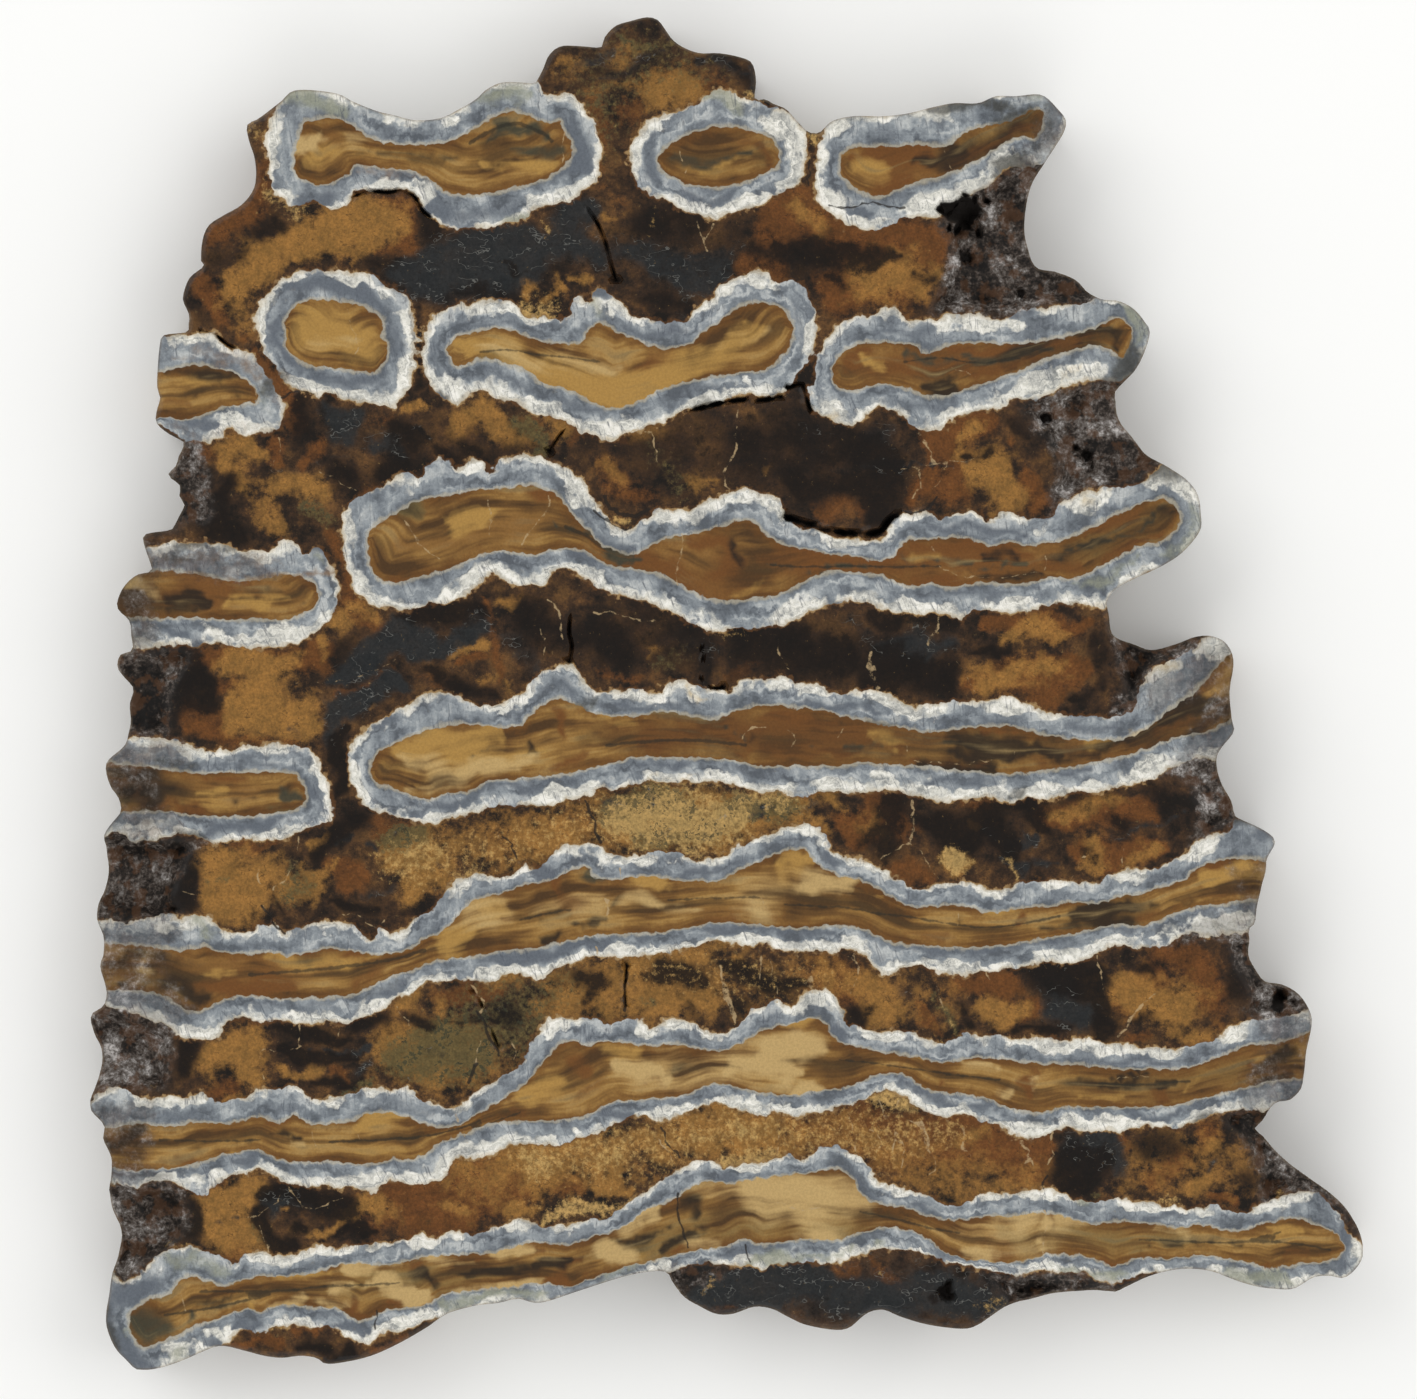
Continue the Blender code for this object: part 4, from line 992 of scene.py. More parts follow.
    ("dentine", "dark"): """
1 9 1070,915 1100,912 1122,908
1 7 945,753 990,756 1020,752 / 460,1273 500,1268 540,1265 570,1261
1 4 1110,1078 1130,1076 1150,1078
.9 13 920,764 960,772 1000,772
.9 11 938,396 962,394
.9 10 130,790 150,795 175,795 / 1160,722 1190,702 1212,690
.9 9 733,545 737,558 / 695,1196 682,1206
.9 8 165,592 190,596 205,600 / 1080,913 1110,911 / 190,990 208,1003 / 130,1134 140,1129 / 424,1274 436,1286
  / 660,1246 680,1240 705,1239
.9 6 925,388 945,386 960,380 / 533,745 535,750 / 450,1275 480,1272 520,1269
.9 5 1100,1084 1140,1087 1190,1082
.8 14 165,372 190,372 215,372 240,378
.8 12 945,736 1000,746 1040,746 / 165,986 188,984
.8 11 1098,927 1122,925
.8 10 105,1140 120,1136
.8 9 1270,1062 1290,1050
.8 8 1105,330 1118,335 1120,350 / 970,570 1010,572 1040,570 / 1190,732 1220,712 / 1260,1087 1282,1076
.8 7 678,1065 684,1066
.8 6 985,550 1010,552 1030,553
.8 5 1040,751 1060,752 / 555,937 545,942 / 1150,905 / 690,1230 712,1228
.8 4 565,928 590,920 612,914 / 957,915 957,925 / 270,1137 300,1138
.7 10 910,160 940,160 970,150
.7 8 120,988 140,992
.7 7 690,1211
.7 6 130,775 160,778 / 614,907 620,900
.7 4 757,738 / 600,1251 640,1236 672,1225
.7 3 338,345
.6 24 950,165 1020,130 1050,120
.6 22 120,790 180,792
.6 11 480,140 498,140 / 1170,515 1192,508 / 176,1008 196,1008
.6 10 1224,710 1238,704
.6 8 125,955 135,950 / 1030,740 1070,735 / 100,770 170,770
.6 7 1045,928 1135,906
.6 5 1060,1080 1100,1082
.6 4 175,398 205,398 / 170,1310 200,1308 240,1300 / 1150,1246 1200,1244 1240,1246
.55 26 1000,358 1060,348 1110,335
.5 26 1130,742 1180,715 1220,700
.5 24 1060,560 1110,540 1160,512
.5 22 130,600 190,598
.5 12 588,538 608,544
.5 10 160,958 170,965 / 1020,582 1050,580
.5 8 1216,706 1245,700 / 536,920 570,912
.5 7 396,508 420,508 / 180,812 290,812
.5 6 360,152 400,156 430,157 470,156 / 1080,335 1100,330 / 165,608 190,610
.5 5 220,390 245,398
.5 4 1150,905 1200,895
.5 3 230,597 270,595 300,598 / 230,797 270,793 / 1060,755 1100,752 1140,742 / 160,1140 200,1141 260,1140
.45 26 140,600 120,590
.4 24 1080,915 1140,908
.4 16 1090,750 1200,735
.4 11 305,952 330,950
.4 6 1160,508 1175,515
.35 40 580,738 700,732 850,740 1000,748 1100,750
.35 30 1060,1085 1160,1085 1280,1070
.35 26 120,968 200,975 / 700,155 760,160 / 120,785 160,785
.3 20 560,1262 640,1240
.3 16 900,380 1000,365
.3 5 690,142 740,145
""",
    ("dentine", "slate"): """
1 8 285,795 300,795
.9 18 150,1330 140,1318
.9 8 475,140 500,126 530,126 550,138
.9 5 555,522 575,530 600,545 625,560 655,562
.8 10 505,152 540,150 570,155
.8 8 660,162 690,160 720,160 750,158
.8 7 590,875 598,880
.8 6 900,352 940,358 980,362 1020,355 1060,350
.8 5 1060,558 1090,548 1130,530 1165,510 / 190,1315
.8 4 845,745 870,748 890,745
.8 3 765,565 800,567 850,566 900,567
.7 8 140,1306
.7 4 940,746 960,743 990,746
.7 3 900,563 940,562 980,560 1030,560 / 725,728 745,732 755,738
.6 5 800,735 812,737
.5 3 470,753 510,750
""",
    ("dentine", "gold"): """
1 26 460,345 540,365 620,400 690,365 760,330
1 14 1210,872 1240,870 / 1210,875 1242,872 / 450,524 486,514
1 12 360,1122 400,1120 / 780,866 806,866 / 786,1022 808,1022 / 604,1052 630,1052
1 10 640,880 664,880
.9 30 300,330 340,335 365,350
.9 20 400,750 440,745 500,740
.9 14 440,945 470,930 / 520,1095 560,1078
.9 12 480,905 500,905
.9 8 480,168 520,166 560,160 / 865,362 885,366
.9 6 250,1306
.9 3 1000,748 1030,750 1045,748
.8 20 330,335
.8 14 860,168 880,170
.8 8 195,795 230,790 / 870,732 900,740 / 1270,1226 1300,1231
.8 7 700,170 730,165 755,160 / 990,913 1012,910
.8 6 880,895 900,900 / 900,1060 930,1064 / 270,1280 330,1273
.8 5 190,970 220,973 240,973
.7 14 250,958 320,960 380,955
.7 10 600,720 640,722
.7 8 220,605 260,605 290,600 / 1090,741 1120,746 / 640,1251
.7 6 1080,1100 1130,1096 / 1200,1075 1180,1098 / 230,1150
.7 3 865,748 885,745 900,748
.6 14 392,758 440,742 500,736
.6 12 305,165 335,150 / 760,580 740,590 / 780,880
.6 11 402,786 450,768 545,748
.6 8 180,388 210,385
.5 6 200,805 250,808 / 350,1152 420,1150
.5 4 910,556 940,555
""",
    ("dentine", "rust"): """
1 14 850,155 900,150 930,155
1 13 268,956 320,950 362,952
1 12 560,1276 566,1286
1 8 910,575 950,582
1 7 386,1304 396,1303
.9 13 1200,866 1226,860
.9 12 645,364 670,362
.9 10 880,185 900,180 / 950,165 980,150 1010,138 1035,128 / 415,1262 425,1272 / 180,814 204,812
.9 9 1024,1085 1030,1096
.9 8 950,350 1000,350 1050,345 1090,335 / 910,548 950,545 1000,548 1040,550 / 1100,560 1140,540 1170,525 /
  558,712 560,728 / 560,878 562,890 / 1105,1260 1115,1265
.9 7 355,1300 350,1312 357,1318
.9 6 975,732 1000,729 1020,733 / 900,757 930,762 960,766 1000,766 / 1049,1218 1051,1229
.9 5 1030,915 1022,922 / 520,1249 525,1243
.8 12 573,1062 585,1070 / 538,492 556,488 / 390,584 412,582
.8 10 845,365 870,350 / 1150,735 1170,725 1190,715 / 800,1030 810,1025
.8 9 690,545 720,540 735,555 720,570 700,575
.8 8 780,545 830,556 870,562 / 1050,565 1080,572 / 1075,540 1110,520 1150,505 / 1290,1258 1302,1255
.8 7 565,1043 / 505,1115 520,1110 / 1155,1095 1165,1091
.8 6 940,1088 / 560,1263 590,1256 / 680,1251 700,1249 / 1265,1268
.8 5 960,375 1000,368 1050,358 / 475,1258 480,1252
.7 12 200,985 260,990 300,990 / 676,1196
.7 11 556,904 582,902
.7 8 765,150 770,165 / 150,805 175,808 / 560,765 580,755 / 760,715 800,720 840,722 / 1160,915 1130,920 /
  1000,1256 1012,1252
.7 7 620,560 660,562 690,570 / 1250,1070
.7 6 800,560 850,560 900,560 / 1030,1070 / 1230,1062 1258,1052
.7 5 290,1125 270,1123 / 455,1257 / 1080,1219 1110,1223
.7 4 430,1252 / 480,1257 / 500,1251 550,1249 560,1248 / 585,1276
.7 3 1040,1092 1080,1091 1120,1087
.6 30 560,555 700,590 800,560 900,575
.6 11 490,362 512,360
.6 10 350,980 380,970
.6 9 940,584 990,590 / 1195,866 1228,858
.6 8 680,140 720,135 750,140 770,150 / 900,365 / 740,752 800,752 860,752 / 1040,766 / 1210,700 1225,692 /
  180,1160 200,1162 / 285,955 360,950
.6 6 830,1240
.6 5 220,582 260,584 / 785,1091 / 1200,896 1242,896
.6 4 200,778 260,778 / 500,917 540,914 / 668,1075 640,1085
.5 30 600,738 700,728 850,736 950,740
.5 26 860,365 960,362
.5 24 870,370 960,360 1040,355
.5 20 760,560 900,560 1040,565 / 150,590 250,590 / 640,735 800,730 900,745 / 200,990 300,990
.5 16 1000,755 1120,750 1200,745
.5 14 300,140 335,132
.5 10 370,355 360,368
.5 9 280,344 360,352
.5 8 130,605 / 120,970 130,975 / 600,1088 580,1095 / 575,380 665,366 / 465,900 490,902
.5 6 160,405 190,408 / 1200,885 1240,885 / 600,883 / 910,932 960,940
.5 4 960,1245 1000,1242 1040,1240
.5 3 600,728 650,724
.45 34 140,965 230,970 330,968
.45 26 860,556 960,556 1080,556 / 860,170 950,160
.4 30 140,596 240,594 300,594 / 390,545 480,530 560,520
.4 20 150,780 260,790 / 860,165 930,160
.4 16 640,905 800,915
.4 6 700,920 740,922
.4 4 700,1085 740,1086
.4 3 700,1221 740,1213
.35 30 640,555 740,552
.35 26 560,150 590,145
""",
    ("dentine", "olive"): """
.9 12 400,508 418,504
.8 9 270,812 292,812
.5 9 480,362 512,360
.4 30 600,1250 760,1220 900,1230
.4 24 300,1290 420,1280 520,1265
.4 20 1000,1235 1200,1240
.4 6 300,315 290,335
""",
    ("dentine", "pale"): """
1 13 800,884 830,884 855,880 / 605,1232 635,1220 655,1208
1 11 298,142 318,138 / 1010,1216 1036,1215 / 345,1265 400,1264 / 366,1289 390,1287 425,1298
1 10 496,1250 520,1249
1 9 610,1068 640,1070 668,1072 / 404,1302 424,1300
.9 12 768,1044 800,1046 826,1050 / 492,1288 520,1284 550,1278
.9 11 1058,1219 1084,1220 / 602,1254 630,1252
.9 10 316,1308 340,1306
.9 9 722,1068 760,1060 800,1050 / 760,1070 800,1070
.9 4 1033,1080 1033,1090
.9 3 1043,1220 1043,1250
.8 12 804,1239 830,1238
.8 11 968,1260 996,1259
.8 10 796,1093 820,1093 / 326,1286 350,1284 / 276,1306 300,1304
.8 8 1000,1096 1010,1090 / 115,586 132,586
.7 12 626,902 650,900
.7 11 695,1248 720,1246
.7 10 1158,1227 1184,1227
.7 9 456,1291 478,1290
.7 8 142,962 150,968
.6 16 480,350 560,362 620,372
.6 14 400,760 440,770 480,765 520,770
.6 12 135,585 150,590 / 400,790 480,770 540,755
.6 11 352,134 370,132
.6 10 640,905 700,910 / 430,1257 480,1262
.6 5 960,1062 1000,1065
.6 3 280,1143 300,1142
.5 40 760,1190 860,1200
.5 24 500,905 470,910
.5 14 690,352 770,330
.5 12 800,1040
.5 9 600,1245 / 1000,1221
.45 40 620,1070 700,1070 820,1045
.4 30 760,895 800,885 / 700,1190 800,1195 860,1200
.4 24 760,1195 800,1190
.4 22 540,905 600,900
.4 12 300,345 360,345
.4 10 760,912
.35 30 950,1225 1060,1240
""",
}

# The rest of the sizes are in millimetres. First how far apart the points of the mesh are.
EDGE_STEP = 0.36
FACE_STEP = 0.36
UNDERSIDE_STEP = 0.9
FRILL_STEP = 0.30
CURVE_POINTS = 12  # worked out between two given points
JOINED_WITHIN = 1e-5
NONE_NEARER_LOOP, NONE_NEARER_WAY = 0.4, 0.55  # as shares of a step
SIDE_RINGS = 15
# Each finer layer of a noise fades by the first and shrinks by the second.
LUMP_FADE, GRIT_FADE, LAYER_SHRINK = 0.7, 0.8, 2.1
# The enamel's and the dentine's edges have a frill of lumps: their size and depth.
ENAMEL_FRILL = (0.9, 0.13)
DENTINE_FRILL = (0.7, 0.05)
DENTINE_SEEDS = 40
# A plate's edge still counts on the face this far outside the slice.
ROOM_OUTSIDE = 0.9
# Thin lines shake by this much.
SHAKE_SIZE = 0.8
CRACK_SHAKE, LINE_SHAKE = 0.25, 0.06
CRACK_DEPTH = 0.10
# Nothing further off a gap or a thin line than this belongs to it.
NEAR_LINE = 1.0
# Crust falls away from the polish over a slope, in lumps, and its edge wanders.
CRUST_BLEND, CRUST_SLOPE = 1.8, 1.1
CRUST_LUMP_SIZE, CRUST_LUMP_DEPTH = 1.6, 0.55
CRUST_WANDER_SIZE, CRUST_WANDER = 1.4, 0.35
# A gap closes here and there, and a pit's rim is uneven.
GAP_OPEN, GAP_SWING, GAP_SWING_SIZE, LEAST_OPEN = 0.42, 1.1, 1.1, 0.04
PIT_SWING, PIT_SWING_SIZE, PIT_RINGS, PIT_SIDES = 0.8, 0.8, (1.0, 0.7, 0.35), 24
# The natural side is ribbed, gritty and rounded where it meets the sawn faces.
POLISH_ROUNDING = 0.18
EDGE_WEAR = 0.62
EDGE_WEAR_PITCH = 4.2
EDGE_WEAR_STRETCH = 2.6
EDGE_RIB_CONTRAST = 0.9
GRIT_SIZE, GRIT_DEPTH, GRIT_RISE = 0.9, 0.10, 0.6
# How high on the side, and how much of the edge's wear shows there.
SIDE_HEIGHTS = (0.0, 0.14, 0.36, 0.58, 0.80, 0.975)
SIDE_WEARS = (0.9, 0.75, 1.0, 0.8, 0.35, 0.0)


def way(text):
    """Places in millimetres from the slice's middle, from x,y pairs in plan units."""
    places = np.array([pair.split(",") for pair in text.split()], float)
    return (places - PLAN_MIDDLE) * (MM_PER_UNIT, -MM_PER_UNIT)


def flowing(points, step, closed=False):
    """Points about a step apart along the smooth curve through the given ones."""
    if closed:
        chain = np.vstack((points[-1:], points, points[:2]))
    else:
        chain = np.vstack((points[:1], points, points[-1:]))
    p0, p1, p2, p3 = chain[:-3], chain[1:-2], chain[2:-1], chain[3:]
    t = np.linspace(0, 1, CURVE_POINTS, endpoint=False)[:, None, None]
    curve = 0.5 * (2 * p1 + (p2 - p0) * t + (2 * p0 - 5 * p1 + 4 * p2 - p3) * t ** 2
                   + (3 * p1 - p0 - 3 * p2 + p3) * t ** 3)
    curve = curve.transpose(1, 0, 2).reshape(-1, 2)
    curve = np.vstack((curve, points[:1] if closed else points[-1:]))
    run = np.concatenate(([0], np.cumsum(np.linalg.norm(np.diff(curve, axis=0), axis=1))))
    at = np.linspace(0, run[-1], max(2, round(run[-1] / step)) + 1)
    even = np.column_stack([np.interp(at, run, curve[:, i]) for i in (0, 1)])
    return even[:-1] if closed else even


def swings(points, size, seed, octaves=3):
    """Smooth noise at each place, from about -1 to 1, with lumps of the given size in millimetres."""
    return np.array([
        noise.fractal(Vector((x / size, y / size, seed)), LUMP_FADE, LAYER_SHRINK, octaves)
        for x, y in points
    ])


def frilled(points, size, depth, seed):
    """A closed way with a frill of small lumps."""
    along = np.roll(points, -1, 0) - np.roll(points, 1, 0)
    across = np.column_stack((-along[:, 1], along[:, 0]))
    across /= np.maximum(np.linalg.norm(across, axis=1), 1e-9)[:, None]
    return points + across * (swings(points, size, seed) * depth)[:, None]


def within(points, loop):
    """Which points lie inside a closed loop."""
    inside = np.zeros(len(points), bool)
    near = np.flatnonzero(((points > loop.min(0)) & (points < loop.max(0))).all(1))
    x, y = points[near].T
    flips = np.zeros(len(near), bool)
    for (ax, ay), (bx, by) in zip(loop, np.roll(loop, -1, 0)):
        if ay != by:
            flips ^= ((ay > y) != (by > y)) & (x < ax + (y - ay) * (bx - ax) / (by - ay))
    inside[near] = flips
    return inside


class Lines:
    """Lines on the face, for finding how far off the nearest one passes."""

    SPACING = 0.06

    def __init__(self, ways):
        samples = [w[:1] for w in ways]
        for w in ways:
            for a, b in zip(w[:-1], w[1:]):
                count = max(1, math.ceil(np.linalg.norm(b - a) / self.SPACING))
                samples.append(a + (b - a) * (np.arange(1, count + 1) / count)[:, None])
        samples = np.vstack(samples)
        self.tree = kdtree.KDTree(len(samples))
        for i, (x, y) in enumerate(samples):
            self.tree.insert((x, y, 0), i)
        self.tree.balance()

    def distance(self, points):
        return np.array([self.tree.find((x, y, 0))[2] for x, y in points])


def inside_runs(points, keep, closed):
    """The stretches of a way whose points are kept, each an array of two points or more."""
    if closed:
        if keep.all():
            return [np.vstack((points, points[:1]))]
        start = int(np.flatnonzero(~keep)[0])
        points, keep = np.roll(points, -start, 0), np.roll(keep, -start)
    runs, run = [], []
    for point, kept in zip(points, keep):
        if kept:
            run.append(point)
        elif run:
            runs.append(run)
            run = []
    runs.append(run)
    return [np.array(run) for run in runs if len(run) > 1]


def smooth_step(share):
    share = np.clip(share, 0, 1)
    return share * share * (3 - 2 * share)


outline = flowing(way(OUTLINE), EDGE_STEP, closed=True)
outline = np.clip(outline, np.array(LOWEST[:2]) * 1000, np.array(HIGHEST[:2]) * 1000)
rim = Lines([np.vstack((outline, outline[:1]))])
plates = []
for number, (enamel, dentine) in enumerate(PLATES.values()):
    enamel = frilled(flowing(way(enamel), FRILL_STEP, closed=True), *ENAMEL_FRILL, number)
    dentine = frilled(flowing(way(dentine), FRILL_STEP, closed=True), *DENTINE_FRILL, number + DENTINE_SEEDS)
    plates.append((enamel, dentine))


def near_slice(points):
    """Which points lie on the face, or a little outside its outline."""
    return within(points, outline) | (rim.distance(points) < ROOM_OUTSIDE)


def kept_runs(loops):
    return [run for loop in loops for run in inside_runs(loop, near_slice(loop), True)]


enamel_lines = Lines(kept_runs([enamel for enamel, _ in plates]))
dentine_lines = Lines(kept_runs([dentine for _, dentine in plates]))


def halves(loop):
    """A closed loop split at its left and right ends into its upper and its lower line."""
    left, right = int(loop[:, 0].argmin()), int(loop[:, 0].argmax())
    turned = np.roll(loop, -left, 0)
    split = (right - left) % len(loop)
    one, other = turned[:split + 1], np.vstack((turned[split:], turned[:1]))
    return (one, other) if one[:, 1].mean() > other[:, 1].mean() else (other, one)


def kept_halves(which):
    runs = []
    for _, dentine in plates:
        half = halves(dentine)[which]
        runs += inside_runs(half, near_slice(half), False)
    return runs


upper_lines, lower_lines = Lines(kept_halves(0)), Lines(kept_halves(1))

crusts = [(deepest, way(loop)) for deepest, loop in CRUSTS]
crust_edges = [Lines([np.vstack((loop, loop[:1]))]) for _, loop in crusts]
gaps = [(width, depth, flowing(way(path), EDGE_STEP)) for width, depth, path in GAPS]
pits = [(way(f"{x},{y}")[0], radius, depth) for x, y, radius, depth in PITS]


def drawn_lines(table, shaking):
    """Each row of a table of thin lines, as its half-width and its points."""
    rows = [row.split(" ", 1) for row in table.strip().splitlines()]
    drawn = []
    for width, path in rows:
        path = flowing(way(path), EDGE_STEP)
        shake = np.column_stack([swings(path, SHAKE_SIZE, seed) for seed in (51.0, 53.0)])
        drawn.append((float(width), path + shake * shaking))
    return drawn


dark_cracks = drawn_lines(DARK_CRACKS, CRACK_SHAKE)
pale_cracks = drawn_lines(PALE_CRACKS, CRACK_SHAKE)
dark_lines = drawn_lines(DARK_LINES, LINE_SHAKE)


def crust_share(points):
    """How much each place is crust, from 0 to 1, and how far the crust falls there."""
    share, fall = np.zeros(len(points)), np.zeros(len(points))
    lumps = swings(points, CRUST_LUMP_SIZE, 7.0, 4) * CRUST_LUMP_DEPTH
    wander = swings(points, CRUST_WANDER_SIZE, 9.0) * CRUST_WANDER
    for (deepest, loop), edges in zip(crusts, crust_edges):
        inside = within(points, loop)
        depth = edges.distance(points) * np.where(inside, 1, -1) + wander
        share = np.maximum(share, smooth_step(depth / CRUST_BLEND + 0.5))
        fall = np.maximum(fall, smooth_step(depth / CRUST_SLOPE) * (deepest + lumps))
    return share, np.maximum(fall, 0)


def off_line(points, path, room):
    """Which points lie round a line, within some room, and how far off it each of those lies."""
    near = np.flatnonzero(((points > path.min(0) - room) & (points < path.max(0) + room)).all(1))
    return near, Lines([path]).distance(points[near])


def opening_depth(points):
    """How deep the gaps, pits and cracks go at each place."""
    fall = np.zeros(len(points))
    for half_width, depth, path in gaps:
        near, off = off_line(points, path, NEAR_LINE)
        openness = GAP_OPEN + GAP_SWING * swings(points[near], GAP_SWING_SIZE, 21.0)
        openness = np.clip(openness, LEAST_OPEN, 1)
        fall[near] += depth * openness * np.clip(1 - off / half_width, 0, 1)
    for centre, radius, depth in pits:
        share = np.linalg.norm(points - centre, axis=1) / radius
        near = np.flatnonzero(share < 2)
        share = share[near] * (1 + PIT_SWING * swings(points[near], PIT_SWING_SIZE, 31.0))
        fall[near] += depth * np.clip(1 - share ** 2, 0, 1)
    for half_width, path in dark_cracks:
        near, off = off_line(points, path, NEAR_LINE)
        fall[near] += CRACK_DEPTH * np.clip(1 - off / half_width, 0, 1)
    return fall


def surface_fall(points):
    """How far the top lies below the polish at each place."""
    return crust_share(points)[1] + opening_depth(points)


def filled(loop, ways, free):
    """Points and triangles that fill a loop along the given ways, the loop's own points first."""
    points = [Vector(p) for p in loop]
    lines = [(i, (i + 1) % len(loop)) for i in range(len(loop))]
    for path in ways:
        first = len(points)
        points += [Vector(p) for p in path]
        lines += [(i, i + 1) for i in range(first, first + len(path) - 1)]
    points += [Vector(p) for p in free]
    points, _, faces, _, _, _ = delaunay_2d_cdt(points, lines, [], 1, JOINED_WITHIN)
    return np.array([p[:] for p in points]), faces


def face_points(loop, step, ways):
    """A triangular grid over the face, clear of the loop and of the ways."""
    row = step * math.sqrt(0.75)
    (left, low), (right, high) = loop.min(0), loop.max(0)
    grid = np.array([
        (left + (i + 0.5 * (j % 2)) * step, low + j * row)
        for j in range(int((high - low) / row) + 1) for i in range(int((right - left) / step) + 1)
    ])
    grid = grid[within(grid, loop)]
    return grid[Lines([np.vstack((loop, loop[:1]))] + ways).distance(grid) > NONE_NEARER_WAY * step]


def face_ways(loop, step, with_detail):
    """The ways that the face's edges follow: round enamel and dentine, and along cracks and gaps."""
    clear = Lines([np.vstack((loop, loop[:1]))])
    paths = [(flowing(line, step, closed=True), True) for plate in plates for line in plate]
    if with_detail:
        for half_width, _, path in gaps:
            ahead = np.gradient(path, axis=0)
            side = np.column_stack((-ahead[:, 1], ahead[:, 0]))
            side *= half_width / np.linalg.norm(side, axis=1)[:, None]
            paths += [(path, False), (path[1:-1] + side[1:-1], False), (path[1:-1] - side[1:-1], False)]
        paths += [(path, False) for lines in (dark_cracks, pale_cracks, dark_lines) for _, path in lines]
        for centre, radius, _ in pits:
            turns = np.linspace(0, math.tau, PIT_SIDES, endpoint=False)
            circle = np.column_stack((np.cos(turns), np.sin(turns)))
            paths += [(centre + circle * radius * share, True) for share in PIT_RINGS]
    kept = []
    for path, closed in paths:
        keep = within(path, loop) & (clear.distance(path) > NONE_NEARER_LOOP * step)
        kept += inside_runs(path, keep, closed)
    return kept


def inward(loop):
    """Unit vectors into a clockwise loop."""
    along = np.roll(loop, -1, 0) - np.roll(loop, 1, 0)
    into = np.column_stack((along[:, 1], -along[:, 0]))
    return into / np.linalg.norm(into, axis=1)[:, None]


def side_wear(points, height):
    """How far the natural side lies back from the outline, ring by ring, in millimetres."""
    ribs = np.array([
        noise.noise(Vector((x, y, z / EDGE_WEAR_STRETCH)) / EDGE_WEAR_PITCH)
        for (x, y), z in zip(points, height)
    ])
    grit = np.array([
        noise.fractal(Vector((x, y, z)) / GRIT_SIZE, GRIT_FADE, LAYER_SHRINK, 3)
        for (x, y), z in zip(points, height)
    ])
    return EDGE_WEAR * smooth_step(0.5 + EDGE_RIB_CONTRAST * ribs) + GRIT_DEPTH * (grit + GRIT_RISE)


into_slice = inward(outline)
edge_height = THICKNESS - surface_fall(outline)
# Rings from the polish down to the underside, closer together at the upper edge.
shares = np.concatenate(([1.0, 0.975], np.linspace(0.93, 0.0, SIDE_RINGS)))
rings = []
for share in shares:
    height = edge_height * share
    back = side_wear(outline, height) * np.interp(share, SIDE_HEIGHTS, SIDE_WEARS)
    if share in (0.0, 1.0):
        back = back + POLISH_ROUNDING
    back = np.maximum(back, 0)
    rings.append(np.column_stack((outline + into_slice * back[:, None], height)))

vertices = [np.vstack(rings)]
count = len(outline)
faces = []
for ring in range(len(rings) - 1):
    for i in range(count):
        after = (i + 1) % count
        upper, lower = ring * count, (ring + 1) * count
        faces.append((upper + i, upper + after, lower + after, lower + i))
total = len(vertices[0])
for ring, first, is_top in ((rings[0], 0, True), (rings[-1], total - count, False)):
    loop = ring[:, :2]
    step = FACE_STEP if is_top else UNDERSIDE_STEP
    ways = face_ways(loop, step, is_top)
    flat, triangles = filled(loop, ways, face_points(loop, step, ways))
    inner = flat[count:]
    height = THICKNESS - surface_fall(inner) if is_top else np.zeros(len(inner))
    vertices.append(np.column_stack((inner, height)))
    offset = total - count
    for triangle in triangles:
        corners = [first + i if i < count else offset + i for i in triangle]
        faces.append(corners if is_top else corners[::-1])
    total += len(inner)
vertices = np.vstack(vertices)

slice_mesh = bpy.data.meshes.new("tooth_slice_polished")
slice_mesh.from_pydata((vertices / 1000).tolist(), [], faces)
slice_mesh.validate()

# What each place of the mesh is made of.
DEEP = 4
FLOW_THICKNESS = 3.4
MOST_FLOW = 1.5
places = vertices[:, :2]
inside_plate = np.zeros(len(places), bool)
inside_dentine = np.zeros(len(places), bool)
for enamel, dentine in plates:
    inside_plate |= within(places, enamel)
    inside_dentine |= within(places, dentine)
enamel_depth = np.minimum(enamel_lines.distance(places), DEEP) * np.where(inside_plate, 1, -1)
dentine_depth = np.minimum(dentine_lines.distance(places), DEEP) * np.where(inside_dentine, 1, -1)
to_upper, to_lower = upper_lines.distance(places), lower_lines.distance(places)
across = to_lower / np.maximum(to_lower + to_upper, 1e-6)
# Streaks in the dentine follow its lower edge more than the bumps of its upper one.
flow = 0.4 * across + 0.6 * np.minimum(to_lower / FLOW_THICKNESS, MOST_FLOW)

STAIN_SPREAD = 1.45
STAIN_WANDER, STAIN_WANDER_SIZE = 0.7, 2.4
STAIN_TAPER, STAIN_ROUNDING = 0.7, 0.8
SHORTEST_STAIN = (0.01, 0)


def stains_drawn():
    """Every stain: its part and kind, how strong it is, how far it reaches in millimetres, and its way."""
    for part_and_kind, rows in STAINS.items():
        for row in rows.replace("\n  ", " ").strip().splitlines():
            strength, half_width, paths = row.split(" ", 2)
            reach = float(half_width) * MM_PER_UNIT * STAIN_SPREAD
            for path in paths.split(" / "):
                yield part_and_kind, float(strength), reach, way(path)


